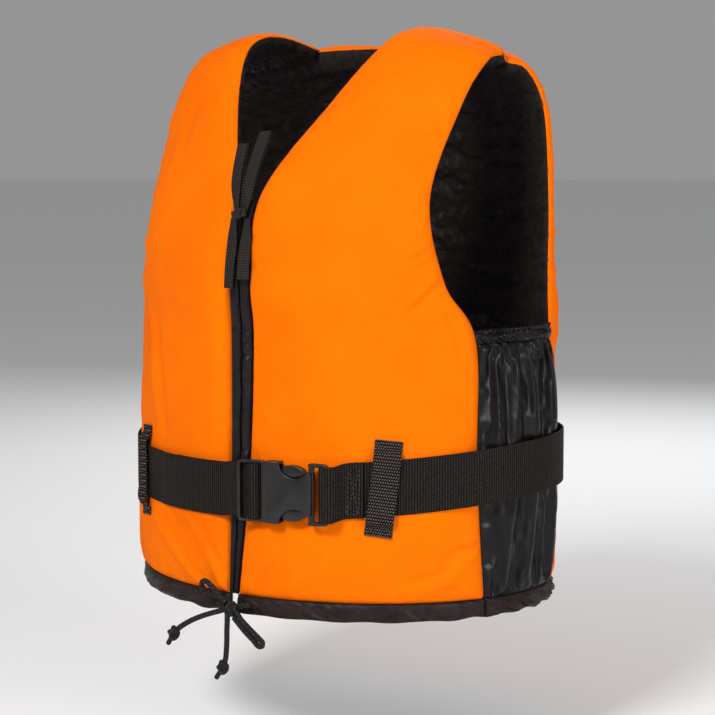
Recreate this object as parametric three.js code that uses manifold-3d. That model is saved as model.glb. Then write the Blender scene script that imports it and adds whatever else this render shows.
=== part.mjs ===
// Foam buoyancy vest: two padded front panels, a padded back panel, thin side panels, a waist belt
// with a side-release buckle, neck ribbons and a hem drawcord.
// Millimetres, +Z up, the vest's front faces -Y and its wearer's left is +X.
// Heights are measured up from the hem; the last line moves the origin up to the wearer's shoulders.
import * as THREE from 'three';
import { mergeVertices } from 'three/addons/utils/BufferGeometryUtils.js';
import Module from 'manifold-3d';

const wasm = await Module();
wasm.setup();

// ---------------------------------------------------------------- driving dimensions
const SHOULDER_HEIGHT = 512; // where the straps' undersides rest on the wearer
const GAP = 0.3; // air left between solids that touch

const SEAM_HALF = 2.5; // half the thickness of a padded panel at its seams
const CROWN_OUT = 6.5; // how much further the foam stands out in the middle
const CROWN_IN = 14; // and how much further in
const CROWN_REACH = 34; // distance from a seam at which the foam is at full thickness
const FABRIC = 1.2; // thickness of the shell and lining solids
const SEAM_ALLOWANCE = 7; // the foam stops this far from a seam
const SHOULDER_SEAM = 1.7; // each panel stops this far from the line of the shoulder seam
const PANEL_ROWS_FROM_EDGE = [0, SEAM_ALLOWANCE, 17, 32];

const HEM_HEIGHT = 17;
const SIDE_TOP = 258; // top edge of the side panels
const ELASTIC_HEIGHT = 9;
const NECK_POINT = 378; // where the opening's edges part into the V neck

const BELT_WIDTH = 50;
const WEBBING = 1.5;
const BELT_STANDOFF = 10.8; // from the seam surface to the middle of the webbing
const BELT_HEIGHT = 113; // middle of the belt at the centre front
const BELT_RISE = 18; // how much higher it runs at the back
const BELT_RISE_ANGLE = 110;
const BELT_TILT = 6; // how much lower it has slipped at the wearer's right, and higher at the left
const LOOP_WIDTH = 25;
const LOOP_LENGTH = 86;
const FRONT_LOOP_X = 134;
const BACK_LOOP_ANGLE = 145;

const BUCKLE_X = 55; // where the middle of the buckle lies
const BUCKLE_STANDOFF = 18; // from the seam surface to the buckle's middle plane
const BUCKLE_LENGTH = 91;
const BUCKLE_HEIGHT = 56;
const SLOT_HEIGHT = 51;

const RIBBON_WIDTH = 12;
const RIBBON_THICKNESS = 1.2;
const CORD_RADIUS = 2.5;

// ---------------------------------------------------------------- materials
const fabric = (color, roughness) => new THREE.MeshStandardMaterial({ color, roughness, metalness: 0 });
const ORANGE = fabric(0xff7a00, 0.85);
const FOAM = fabric(0xe9e4d8, 0.95);
const LINING = fabric(0x17130f, 0.6);
const NYLON = fabric(0x141114, 0.45);
const WEBBING_BLACK = fabric(0x181512, 0.8);
const PLASTIC = fabric(0x3a3a3c, 0.4);

// ---------------------------------------------------------------- the body the vest is sewn to fit
// Each level is a horizontal half ellipse. Columns: height, y at the centre, half width, half depth,
// x of the panel's inner edge, x of its outer edge, and how steeply the level falls outwards.
const FRONT_LEVELS = [
  [0, -172, 208, 178, 5, 196, 0],
  [136, -160, 212, 166, 11, 193, 0],
  [252, -157, 209, 163, 13, 190, 0],
  [304, -160, 206, 166, 12, 172, 0],
  [380, -147, 203, 153, 14, 159, 0],
  [464, -98, 202, 111, 55, 166, 0.05],
  [509, -64, 192, 93, 76, 170, 0.1],
  [528, -34, 178, 72, 82, 168, 0.24],
  [530, 8, 174, 20, 80, 165, 0.24],
  [518, 66, 180, -68, 74, 166, 0.2],
];
const BACK_LEVELS = [
  [0, 160, 208, 154, 0, 199, 0],
  [136, 153, 212, 147, 0, 196, 0],
  [252, 150, 209, 144, 0, 199, 0],
  [304, 154, 206, 148, 0, 195, 0],
  [380, 154, 203, 142, 0, 189, 0],
  [464, 132, 202, 121, 0, 190, 0.05],
  [504, 98, 192, 92, 0, 180, 0.1],
  [518, 66, 180, 68, 0, 166, 0.2],
];
const LEVEL_SIZE = FRONT_LEVELS[0].length;
const NECK_X = 75; // where the levels begin to fall outwards
const BEND = 20; // how gently they begin to
const MIDDLE_X = 120; // the middle of a shoulder strap

const smoothLevels = (table) =>
  new THREE.CubicInterpolant(table.map((_, row) => row), table.flat(), LEVEL_SIZE);
const frontLevels = smoothLevels(FRONT_LEVELS);
const backLevels = smoothLevels(BACK_LEVELS);

const FRONT = {
  rows: FRONT_LEVELS.length - 1,
  level: (v) => Array.from(frontLevels.evaluate(v)),
  direction: 1,
};
const BACK = {
  rows: BACK_LEVELS.length - 1,
  level: (v) => Array.from(backLevels.evaluate(v)),
  direction: -1,
};
const INNER_EDGE = 4;
const OUTER_EDGE = 5;

/** Point of a panel's seam surface, at distance x from the centre line and level v. */
function surfacePoint(side, x, v) {
  const [z, y, halfWidth, halfDepth, , , slope] = side.level(v);
  const sine = THREE.MathUtils.clamp(x / halfWidth, -1, 1);
  const bow = halfDepth * (1 - Math.sqrt(1 - sine * sine));
  const beyond = Math.abs(x) - NECK_X;
  const fall = (slope * (beyond + Math.hypot(beyond, BEND) - BEND)) / 2;
  return new THREE.Vector3(x, y + side.direction * bow, z - fall);
}

/** Outward normal of the seam surface. */
function surfaceNormal(side, x, v) {
  const step = 0.5;
  const dv = 0.01;
  const low = Math.max(0, v - dv);
  const high = Math.min(side.rows, v + dv);
  const across = surfacePoint(side, x + step, v).sub(surfacePoint(side, x - step, v));
  const along = surfacePoint(side, x, high).sub(surfacePoint(side, x, low));
  return across.cross(along).multiplyScalar(side.direction).normalize();
}

/** The level v at which the seam surface reaches a height, below the shoulders. */
function levelAtHeight(height) {
  let low = 0;
  let high = 5;
  for (let step = 0; step < 30; step += 1) {
    const middle = (low + high) / 2;
    if (FRONT.level(middle)[0] < height) low = middle;
    else high = middle;
  }
  return (low + high) / 2;
}

/** Point all the way round the body: angle 0 at the centre front, 90 at the wearer's left. */
function ringPoint(angle, height, standoff) {
  const theta = THREE.MathUtils.degToRad(angle);
  const side = Math.cos(theta) >= 0 ? FRONT : BACK;
  const at = (turn, z) => {
    const [, y, halfWidth, halfDepth] = side.level(levelAtHeight(z));
    const bow = halfDepth * (1 - Math.abs(Math.cos(turn)));
    return new THREE.Vector3(halfWidth * Math.sin(turn), y + side.direction * bow, z);
  };
  const around = at(theta + 0.004 * side.direction, height).sub(at(theta, height));
  const up = at(theta, height + 2).sub(at(theta, height - 2)).normalize();
  const out = around.cross(up).multiplyScalar(side.direction).normalize();
  return { point: at(theta, height).addScaledVector(out, standoff), up, out };
}

/** Angle round the body of a point of a panel's surface. */
function ringAngle(side, x, v) {
  const angle = THREE.MathUtils.radToDeg(Math.asin(x / side.level(v)[2]));
  return side === FRONT ? angle : 180 - angle;
}

// ---------------------------------------------------------------- solids from bent boxes
/** Leaves only merged positions, with every triangle facing out. */
function closed(geometry) {
  geometry.deleteAttribute('normal');
  geometry.deleteAttribute('uv');
  const merged = mergeVertices(geometry, 1e-4);
  const index = merged.index.array;
  const p = merged.attributes.position;
  const [a, b, c] = [new THREE.Vector3(), new THREE.Vector3(), new THREE.Vector3()];
  let volume = 0;
  for (let k = 0; k < index.length; k += 3) {
    a.fromBufferAttribute(p, index[k]);
    b.fromBufferAttribute(p, index[k + 1]);
    c.fromBufferAttribute(p, index[k + 2]);
    volume += a.dot(b.cross(c));
  }
  if (volume < 0) index.reverse();
  merged.computeVertexNormals();
  return merged;
}

/** Splits a box's outer face along the same diagonals as its inner one, so that layers nest. */
function matchDiagonals(box) {
  const OUTER_FACE = 3;
  const { start, count } = box.groups[OUTER_FACE];
  const index = box.index.array;
  for (let k = start; k < start + count; k += 6) {
    const [a, b, d, , c] = index.slice(k, k + 6);
    index.set([a, b, c, a, c, d], k);
  }
}

/** A box bent into shape: place(i, j, outer) gives the point at column i and row j of one face. */
function bentBox(columns, rows, place) {
  const box = new THREE.BoxGeometry(columns, 1, rows, columns, 1, rows);
  matchDiagonals(box);
  const p = box.attributes.position;
  for (let k = 0; k < p.count; k += 1) {
    const i = Math.round(p.getX(k) + columns / 2);
    const j = Math.round(p.getZ(k) + rows / 2);
    const point = place(i, j, p.getY(k) < 0);
    p.setXYZ(k, point.x, point.y, point.z);
  }
  return closed(box);
}

/** Mirrors a geometry to the wearer's other side. */
const mirrored = (geometry) => closed(geometry.clone().toNonIndexed().scale(-1, 1, 1));

const vest = new THREE.Group();
function add(name, geometry, material, parent = vest) {
  const mesh = new THREE.Mesh(geometry, material);
  mesh.name = name;
  parent.add(mesh);
  return mesh;
}

// ---------------------------------------------------------------- padded panels
/** Distance from the start of a grid line: close together by the seams, even in between. */
function gridDistance(k, count, length, fromEdge) {
  const last = fromEdge.length - 1;
  if (k <= last) return fromEdge[k];
  if (k >= count - last) return length - fromEdge[count - k];
  const share = (k - last) / (count - 2 * last);
  return THREE.MathUtils.lerp(fromEdge[last], length - fromEdge[last], share);
}

/** Level at a distance along a panel from its lower seam, measured at its middle. */
function levelsAlong(side, vStart) {
  const samples = 200;
  const levels = [vStart];
  const lengths = [0];
  let before = surfacePoint(side, MIDDLE_X, vStart);
  for (let k = 1; k <= samples; k += 1) {
    const v = THREE.MathUtils.lerp(vStart, side.rows, k / samples);
    const here = surfacePoint(side, MIDDLE_X, v);
    levels.push(v);
    lengths.push(lengths[k - 1] + here.distanceTo(before));
    before = here;
  }
  const total = lengths[samples] - SHOULDER_SEAM;
  const toLevel = (distance) => {
    const k = THREE.MathUtils.clamp(lengths.findIndex((l) => l >= distance), 1, samples);
    const share = (distance - lengths[k - 1]) / (lengths[k] - lengths[k - 1]);
    return THREE.MathUtils.lerp(levels[k - 1], levels[k], Math.min(1, share));
  };
  return { total, toLevel };
}

/** 0 at a seam, 1 where the foam is at full thickness. */
function crown(distance) {
  const share = Math.min(1, distance / CROWN_REACH);
  return Math.sqrt(1 - (1 - share) ** 2);
}

/** One layer of a padded panel. offsets(distance from the nearest seam) gives its two faces. */
function paddedLayer(side, columns, rows, fromEdge, offsets) {
  const run = levelsAlong(side, levelAtHeight(HEM_HEIGHT + GAP));
  return bentBox(columns, rows, (i, j, outer) => {
    const along = gridDistance(j, rows, run.total, fromEdge);
    const v = run.toLevel(along);
    const edges = side.level(v);
    const outerX = edges[OUTER_EDGE];
    const innerX = side === BACK ? -outerX : edges[INNER_EDGE];
    const across = gridDistance(i, columns, outerX - innerX, fromEdge);
    const x = innerX + across;
    const nearest = Math.min(across, outerX - x, along, run.total - along);
    const [outerOffset, innerOffset] = offsets(Math.max(0, nearest));
    const offset = outer ? outerOffset : innerOffset;
    return surfacePoint(side, x, v).addScaledVector(surfaceNormal(side, x, v), offset);
  });
}

const outerFace = (distance) => SEAM_HALF + CROWN_OUT * crown(distance);
const innerFace = (distance) => -SEAM_HALF - CROWN_IN * crown(distance);
const RIM_GAP = 0.45; // from the middle of a seam to the shell and to the lining
const shellLayer = (d) => [outerFace(d), d < 1 ? RIM_GAP : outerFace(d) - FABRIC];
const liningLayer = (d) => [d < 1 ? -RIM_GAP : innerFace(d) + FABRIC, innerFace(d)];
const foamLayer = (d) => [outerFace(d) - FABRIC - GAP, innerFace(d) + FABRIC + 2 * GAP];

const FOAM_FROM_EDGE = [SEAM_ALLOWANCE + 0.5, ...PANEL_ROWS_FROM_EDGE.slice(2)];
const insetCount = (count) => count - 2;

function addPaddedPanel(name, side, columns, rows, copies) {
  const shell = paddedLayer(side, columns, rows, PANEL_ROWS_FROM_EDGE, shellLayer);
  const lining = paddedLayer(side, columns, rows, PANEL_ROWS_FROM_EDGE, liningLayer);
  const foam = paddedLayer(side, insetCount(columns), insetCount(rows), FOAM_FROM_EDGE, foamLayer);
  copies.forEach(([suffix, place]) => {
    add(`${name}_shell${suffix}`, place(shell), ORANGE);
    add(`${name}_foam${suffix}`, place(foam), FOAM);
    add(`${name}_lining${suffix}`, place(lining), LINING);
  });
}
const asMade = (geometry) => geometry;
const BOTH_SIDES = [['_left', asMade], ['_right', mirrored]];
addPaddedPanel('front', FRONT, 9, 18, BOTH_SIDES);
addPaddedPanel('back', BACK, 16, 16, [['', asMade]]);

// ---------------------------------------------------------------- opening edges, side panels, hems
/** Black rolled edge that fills the opening between a front panel and the centre line. */
const BINDING_BULGE = 4;
const BINDING_GAP = 1;
const binding = bentBox(3, 14, (i, j, outer) => {
  const height = THREE.MathUtils.lerp(HEM_HEIGHT + GAP, NECK_POINT, j / 14);
  const v = levelAtHeight(height);
  const edge = FRONT.level(v)[INNER_EDGE];
  const x = THREE.MathUtils.lerp(GAP, edge - BINDING_GAP, i / 3);
  const bulge = i === 0 || i === 3 ? 0 : BINDING_BULGE;
  const offset = outer ? SEAM_HALF + bulge : -SEAM_HALF - bulge;
  return surfacePoint(FRONT, x, v).addScaledVector(surfaceNormal(FRONT, x, v), offset);
});
BOTH_SIDES.forEach(([suffix, place]) => add(`front_binding${suffix}`, place(binding), NYLON));

/** A band round the body between two angles and two heights, bulging by its middle rows. */
function bodyBand(angleAt, heights, columns, rows, outerOffset, innerOffset, bulge) {
  return bentBox(columns, rows, (i, j, outer) => {
    const height = THREE.MathUtils.lerp(heights[0], heights[1], j / rows);
    const [start, end] = angleAt(height);
    const angle = THREE.MathUtils.lerp(start, end, i / columns);
    const swell = bulge * Math.sin((Math.PI * j) / rows);
    const offset = outer ? outerOffset + swell : innerOffset - swell;
    return ringPoint(angle, height, offset).point;
  });
}

const EDGE_GAP = 0.6; // degrees round the body, about 2 mm
const frontEdge = (z) => ringAngle(FRONT, FRONT.level(levelAtHeight(z))[OUTER_EDGE], levelAtHeight(z));
const backEdge = (z) => ringAngle(BACK, BACK.level(levelAtHeight(z))[OUTER_EDGE], levelAtHeight(z));
const sideSpan = (z) => [frontEdge(z) + EDGE_GAP, backEdge(z) - EDGE_GAP];

const SIDE_PANEL_BULGE = 3;
const HEM_START = 2; // degrees from the centre line
const sidePanel = bodyBand(
  sideSpan, [HEM_HEIGHT + GAP, SIDE_TOP - ELASTIC_HEIGHT - GAP], 8, 6, 0.8, -0.8, 0);
const sideElastic = bodyBand(sideSpan, [SIDE_TOP - ELASTIC_HEIGHT, SIDE_TOP], 8, 2, 1.5, -1.5, 1.5);
const hemSide = bodyBand(sideSpan, [0, HEM_HEIGHT], 8, 2, 2.5, -2.5, SIDE_PANEL_BULGE);
const hemFront = bodyBand((z) => [HEM_START, frontEdge(z)], [0, HEM_HEIGHT], 14, 2, 2.5, -4, 2.5);
BOTH_SIDES.forEach(([suffix, place]) => {
  add(`side_panel${suffix}`, place(sidePanel), NYLON);
  add(`side_elastic${suffix}`, place(sideElastic), NYLON);
  add(`hem_side${suffix}`, place(hemSide), NYLON);
  add(`hem_front${suffix}`, place(hemFront), NYLON);
});
const hemBack = bodyBand((z) => [backEdge(z), 360 - backEdge(z)], [0, HEM_HEIGHT], 24, 2, 2.5, -4, 2.5);
add('hem_back', hemBack, NYLON);

// ---------------------------------------------------------------- the buckle's own axes
// Along the buckle x runs from the male end to the female end, y points in at the wearer, z is up.
const beltHeight = (angle) => {
  const share = Math.min(1, Math.min(angle, 360 - angle, Math.abs(angle)) / BELT_RISE_ANGLE);
  const tilt = BELT_TILT * Math.sin(THREE.MathUtils.degToRad(angle));
  return BELT_HEIGHT + tilt + (BELT_RISE / 2) * (1 - Math.cos(Math.PI * share));
};
const buckleAngle = ringAngle(FRONT, BUCKLE_X, levelAtHeight(BELT_HEIGHT));
const buckleSeat = ringPoint(buckleAngle, beltHeight(buckleAngle), BUCKLE_STANDOFF);
const buckle = new THREE.Group();
buckle.position.copy(buckleSeat.point);
buckle.rotation.z = Math.atan2(buckleSeat.out.x, -buckleSeat.out.y);
buckle.updateMatrixWorld();
vest.add(buckle);
/** A place along the buckle, in the vest's axes; in is the depth towards the wearer. */
const byBuckle = (along, inward) =>
  buckle.localToWorld(new THREE.Vector3(along - BUCKLE_LENGTH / 2, inward, 0));

// ---------------------------------------------------------------- webbing straps
/** A flat strap along stations, each a point with its across direction. */
function strap(stations, width, thickness) {
  const count = stations.length - 1;
  const tangent = (k) => {
    const ahead = stations[Math.min(count, k + 1)].point;
    const behind = stations[Math.max(0, k - 1)].point;
    return ahead.clone().sub(behind).normalize();
  };
  return bentBox(1, count, (i, k, outer) => {
    const { point, across } = stations[k];
    const normal = tangent(k).cross(across).normalize();
    const shift = outer ? thickness / 2 : -thickness / 2;
    return point.clone().addScaledVector(across, (i - 0.5) * width).addScaledVector(normal, shift);
  });
}

const UP = new THREE.Vector3(0, 0, 1);
const beltStation = (angle, standoff) => {
  const { point, up } = ringPoint(angle, beltHeight(angle), standoff);
  return { point, across: up };
};
/** Stations of the belt from one angle to another, the ends included. */
function beltRun(from, to, count, standoffAt) {
  return Array.from({ length: count + 1 }, (_, k) => {
    const angle = THREE.MathUtils.lerp(from, to, k / count);
    return beltStation(angle, standoffAt(angle));
  });
}
const uprightStations = (points) => points.map((point) => ({ point, across: UP }));

// Places along the buckle, in millimetres from its male end.
const MALE_BAR = { start: 13.2, end: 19.4 };
const MOUTH = 28.6; // where the female body begins
const HOUSING_END = 75;
const FEMALE_BAR = { start: 84, end: 89 };
const BAR_HALF = 2; // half the thickness of the bars
const WRAP = BAR_HALF + GAP + WEBBING / 2; // from a bar's middle to the middle of the webbing on it

/** Points of webbing round the end of a bar, from its inner face to its outer face. */
function roundBar(along, towards) {
  return [-60, -20, 20, 60].map((degrees) => {
    const turn = THREE.MathUtils.degToRad(degrees);
    return byBuckle(along + towards * WRAP * Math.cos(turn), -WRAP * Math.sin(turn));
  });
}

// ---------------------------------------------------------------- the belt
const loopAngle = ringAngle(FRONT, FRONT_LOOP_X, levelAtHeight(BELT_HEIGHT));
const ADJUSTER_JOIN = 1.5; // degrees past the right loop at which the adjuster strap takes over
const beltEnd = 360 - loopAngle - ADJUSTER_JOIN;
const LIFT_ANGLE = 9; // the webbing lifts off the panel over this angle beside the buckle

const belt = strap(
  [
    ...uprightStations([byBuckle(FEMALE_BAR.start + 1, WRAP), byBuckle(FEMALE_BAR.end + 2, WRAP + 0.3)]),
    ...beltRun(buckleAngle + 15, beltEnd, 56, () => BELT_STANDOFF),
  ],
  BELT_WIDTH, WEBBING);
add('belt', belt, WEBBING_BLACK);

const sewnEnd = strap(
  [
    ...uprightStations([
      ...roundBar(FEMALE_BAR.start, -1).slice(1),
      byBuckle(FEMALE_BAR.start + 1, -WRAP),
      byBuckle(FEMALE_BAR.end + 2, -WRAP + 0.5),
    ]),
    ...beltRun(buckleAngle + 15, loopAngle - 5, 6, () => BELT_STANDOFF + WEBBING + 2 * GAP),
  ],
  BELT_WIDTH, WEBBING);
add('belt_sewn_end', sewnEnd, WEBBING_BLACK);

const STRAP_INWARD = 4.4; // depth of the adjuster strap behind the buckle's male end
const FREE_END_ANGLE = -20; // how far back the free end reaches under the adjuster strap
const LAYER = WEBBING + GAP;
const freeStandoff = SEAM_HALF + CROWN_OUT + GAP + WEBBING / 2;
const overFreeEnd = (angle) => (angle > FREE_END_ANGLE - 5 ? freeStandoff + LAYER + GAP : BELT_STANDOFF);
const adjusterStrap = strap(
  [
    ...beltRun(-loopAngle - ADJUSTER_JOIN + 0.2, buckleAngle - 2 * LIFT_ANGLE, 12, overFreeEnd),
    ...uprightStations([
      byBuckle(-4, STRAP_INWARD + 1.4),
      byBuckle(5, STRAP_INWARD),
      byBuckle(MALE_BAR.start - WRAP, 0),
      byBuckle(MALE_BAR.start, -WRAP),
      byBuckle(MALE_BAR.end, -WRAP),
      byBuckle(MALE_BAR.end + WRAP, 0),
      byBuckle(MALE_BAR.end + 0.5, STRAP_INWARD),
    ]),
  ],
  BELT_WIDTH, WEBBING);
add('belt_adjuster_strap', adjusterStrap, WEBBING_BLACK);

const freeEnd = strap(
  [
    ...beltRun(FREE_END_ANGLE, buckleAngle - 2 * LIFT_ANGLE, 6, () => freeStandoff),
    ...uprightStations([
      byBuckle(-4, STRAP_INWARD + 1.4 + LAYER),
      byBuckle(5, STRAP_INWARD + LAYER),
      byBuckle(MALE_BAR.end - 1, STRAP_INWARD + LAYER),
    ]),
  ],
  BELT_WIDTH, WEBBING);
add('belt_free_end', freeEnd, WEBBING_BLACK);

/** Vertical webbing sewn to the vest above and below the belt. */
function beltLoop(angle) {
  const middle = beltHeight(angle);
  const flat = SEAM_HALF + CROWN_OUT + GAP + WEBBING / 2;
  const over = BELT_STANDOFF + 2 * (WEBBING + GAP);
  const half = LOOP_LENGTH / 2;
  const profile = [[-half, flat], [-36, flat], [-30, over], [0, over], [30, over], [36, flat], [half, flat]];
  const stations = profile.map(([height, standoff]) => {
    const { point, up, out } = ringPoint(angle, middle + height, standoff);
    return { point, across: up.cross(out) };
  });
  return strap(stations, LOOP_WIDTH, WEBBING);
}
add('belt_loop_front_left', beltLoop(loopAngle), WEBBING_BLACK);
add('belt_loop_front_right', beltLoop(-loopAngle), WEBBING_BLACK);
add('belt_loop_back_left', beltLoop(BACK_LOOP_ANGLE), WEBBING_BLACK);
add('belt_loop_back_right', beltLoop(-BACK_LOOP_ANGLE), WEBBING_BLACK);

// ---------------------------------------------------------------- the side-release buckle
const HALF_HEIGHT = BUCKLE_HEIGHT / 2;
const MALE_THICKNESS = 5.5;
const FEMALE_THICKNESS = 12;
const WALL = 2;
const SLOT_HALF = SLOT_HEIGHT / 2;
const WAIST_RADIUS = 16;
const WAIST_MIDDLE = 58.5;
const ARM_START = 70;
const GUIDE_END = 58;
const PRONG_START = MOUTH + 0.6; // where the prongs spring from the male frame

/** Solid of a flat outline drawn along the buckle and up, centred on a depth. */
function buckleSlab(shape, thickness, depth = 0) {
  const slab = new THREE.ExtrudeGeometry(shape, { depth: thickness, bevelEnabled: false, curveSegments: 3 });
  return slab.rotateX(Math.PI / 2).translate(-BUCKLE_LENGTH / 2, depth + thickness / 2, 0);
}
/** Rounded rectangle from its corners along the buckle. */
function plate(left, right, low, high, radius) {
  const shape = new THREE.Shape();
  shape.moveTo(left + radius, low);
  shape.lineTo(right - radius, low);
  shape.absarc(right - radius, low + radius, radius, -Math.PI / 2, 0, false);
  shape.absarc(right - radius, high - radius, radius, 0, Math.PI / 2, false);
  shape.absarc(left + radius, high - radius, radius, Math.PI / 2, Math.PI, false);
  shape.absarc(left + radius, low + radius, radius, Math.PI, 1.5 * Math.PI, false);
  return shape;
}
const solidOf = (geometry) => {
  const merged = closed(geometry);
  return new wasm.Manifold(new wasm.Mesh({
    numProp: 3,
    vertProperties: new Float32Array(merged.attributes.position.array),
    triVerts: new Uint32Array(merged.index.array),
  }));
};
const geometryOf = (solid) => {
  const mesh = solid.getMesh();
  const geometry = new THREE.BufferGeometry();
  geometry.setAttribute('position', new THREE.BufferAttribute(mesh.vertProperties, 3));
  geometry.setIndex(new THREE.BufferAttribute(mesh.triVerts, 1));
  geometry.computeVertexNormals();
  return geometry;
};
const slabSolid = (shape, thickness, depth) => solidOf(buckleSlab(shape, thickness, depth));

/** Male end: a frame with two slots and a bar between them, and the guide that enters the female end. */
const barSolid = ({ start, end }) =>
  slabSolid(plate(start, end, -SLOT_HALF - 1, SLOT_HALF + 1, 1), 2 * BAR_HALF);
const maleFrame = slabSolid(plate(0, MOUTH - GAP, -HALF_HEIGHT, HALF_HEIGHT, 4), MALE_THICKNESS)
  .subtract(slabSolid(plate(2.8, 25.2, -SLOT_HALF, SLOT_HALF, 1), 3 * MALE_THICKNESS));
const guide = slabSolid(plate(MOUTH - 1.5, GUIDE_END, -4, 4, 1), 2 * BAR_HALF);
add('buckle_male', geometryOf(maleFrame.add(barSolid(MALE_BAR)).add(guide)), PLASTIC, buckle);

/** Female end: a flat sleeve with a waist above and below, and two arms that hold its webbing bar. */
const hollowThickness = FEMALE_THICKNESS - 2 * WALL;
const waist = (side) => {
  const disc = new THREE.Shape();
  disc.absarc(WAIST_MIDDLE, side * (WAIST_RADIUS + 14), WAIST_RADIUS, 0, 2 * Math.PI, false);
  return slabSolid(disc, 3 * FEMALE_THICKNESS);
};
const housing = slabSolid(plate(MOUTH, HOUSING_END, -HALF_HEIGHT, HALF_HEIGHT, 2), FEMALE_THICKNESS)
  .subtract(slabSolid(plate(MOUTH - 5, ARM_START, -SLOT_HALF, SLOT_HALF, 1), hollowThickness))
  .subtract(waist(1))
  .subtract(waist(-1));
const barFrame = slabSolid(plate(ARM_START + 1, BUCKLE_LENGTH, -HALF_HEIGHT, HALF_HEIGHT, 3), MALE_THICKNESS)
  .subtract(slabSolid(plate(ARM_START + 4, BUCKLE_LENGTH + 5, -SLOT_HALF, SLOT_HALF, 1), 3 * MALE_THICKNESS));
add('buckle_female', geometryOf(housing.add(barFrame).add(barSolid(FEMALE_BAR))), PLASTIC, buckle);

/** One spring prong of the male end, with the thumb pad that shows in the waist. */
function prong() {
  const shape = new THREE.Shape();
  shape.moveTo(PRONG_START, 15.5);
  shape.lineTo(45, 14.5);
  shape.quadraticCurveTo(58, 13.8, 69, 18.5);
  shape.quadraticCurveTo(66, 23, 58, 24.8);
  shape.quadraticCurveTo(50, 26, 46, 23.5);
  shape.lineTo(44.5, 18.6);
  shape.lineTo(PRONG_START, 19.5);
  return closed(buckleSlab(shape, hollowThickness - 4 * GAP));
}
add('buckle_prong_upper', prong(), PLASTIC, buckle);
add('buckle_prong_lower', closed(prong().toNonIndexed().scale(1, 1, -1)), PLASTIC, buckle);

// ---------------------------------------------------------------- cords, ribbons and their knots
const at = (x, y, z) => new THREE.Vector3(x, y, z);

/** Round cord through points chosen by hand. */
function cord(points, steps, radius = CORD_RADIUS) {
  const section = new THREE.Shape();
  section.absarc(0, 0, radius, 0, 2 * Math.PI, false);
  const path = new THREE.CatmullRomCurve3(points);
  const QUARTERS = 4; // eight sides
  return new THREE.ExtrudeGeometry(section, { extrudePath: path, steps, curveSegments: QUARTERS });
}
/** Rounded lump of a knot. */
function lump(center, radii) {
  return new THREE.SphereGeometry(1, 10, 6).scale(...radii).translate(center.x, center.y, center.z);
}

add('neck_bow_knot', closed(lump(at(2, -164.5, 364), [9, 4.5, 6.5])), WEBBING_BLACK);

/** Ribbon through points, lying flat towards the front. */
const ribbon = (points, thickness) =>
  strap(points.map((point) => ({ point, across: at(1, 0, 0) })), RIBBON_WIDTH, thickness);
const FOLDED_RIBBON = 2 * RIBBON_THICKNESS + GAP;
add('neck_bow_loop_left',
  ribbon([at(7, -160.5, 371.5), at(9, -157, 392), at(12, -149, 416), at(15, -141, 438)], FOLDED_RIBBON),
  WEBBING_BLACK);
add('neck_bow_loop_right',
  ribbon([at(0, -163.5, 371.5), at(-3, -161, 390), at(-5, -154, 410), at(-6, -147, 427)], FOLDED_RIBBON),
  WEBBING_BLACK);
add('neck_bow_tail_left',
  ribbon([at(9.6, -162, 356.5), at(10, -165, 338), at(10.6, -169, 320), at(10.8, -170.5, 305)], RIBBON_THICKNESS),
  WEBBING_BLACK);
add('neck_bow_tail_right',
  ribbon([at(-3, -165, 356.5), at(-3.4, -168, 337), at(-4, -171, 315), at(-4.5, -172.5, 297)], RIBBON_THICKNESS),
  WEBBING_BLACK);

add('drawcord_knot', closed(lump(at(7, -184, 7), [8.5, 5.5, 7.5])), WEBBING_BLACK);
add('drawcord_run_left', closed(cord([at(26, -181, 11.5), at(21, -181.5, 11), at(17.5, -182.5, 10)], 3)),
  WEBBING_BLACK);
add('drawcord_run_right', closed(cord([at(-12, -181, 9), at(-7.5, -181.5, 8), at(-4, -182.5, 6)], 3)),
  WEBBING_BLACK);
const loopRoute = [
  at(-1, -187, 14), at(-9, -187, 21), at(-17, -186.5, 26.5), at(-23, -185.5, 29), at(-27.5, -184.5, 27),
  at(-28.5, -183.5, 22.5), at(-25, -182.5, 18.5), at(-15.5, -182, 16.5), at(-7, -181.5, 14.5),
];
add('drawcord_loop_right', closed(cord(loopRoute, 24)), WEBBING_BLACK);
const FLAT_LOOP_RADIUS = 4;
add('drawcord_loop_left',
  closed(cord([at(17.5, -186, -1), at(27, -187.5, -7.5), at(37, -189, -14.5), at(47, -190, -20.6)], 6,
    FLAT_LOOP_RADIUS)),
  WEBBING_BLACK);
const rightTailRoute = [
  at(-4, -186.5, 3.5), at(-13, -187, 0.5), at(-25, -188, -4), at(-36, -189, -9), at(-47, -190, -15.5),
  at(-51.5, -190, -18.6),
];
add('drawcord_tail_right', closed(cord(rightTailRoute, 8)), WEBBING_BLACK);
const leftTailRoute = [
  at(4, -187, -3.5), at(4.6, -188, -12), at(4.4, -188, -22), at(3.8, -188, -32), at(2.6, -188, -40.5),
];
add('drawcord_tail_left', closed(cord(leftTailRoute, 8)), WEBBING_BLACK);

/** Overhand knot with the cord's cut end standing out of it. */
function stopper(center, radii, tip) {
  const stub = solidOf(cord([center, tip], 2));
  return geometryOf(solidOf(lump(center, radii)).add(stub));
}
add('drawcord_stop_right', stopper(at(-57.5, -190, -24), [6, 5, 6.5], at(-65, -190, -36)), WEBBING_BLACK);
add('drawcord_stop_left', stopper(at(-0.5, -188, -48.5), [6, 5, 7.5], at(-9, -188, -60.5)), WEBBING_BLACK);

vest.position.z = -SHOULDER_HEIGHT;
export default vest;
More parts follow.
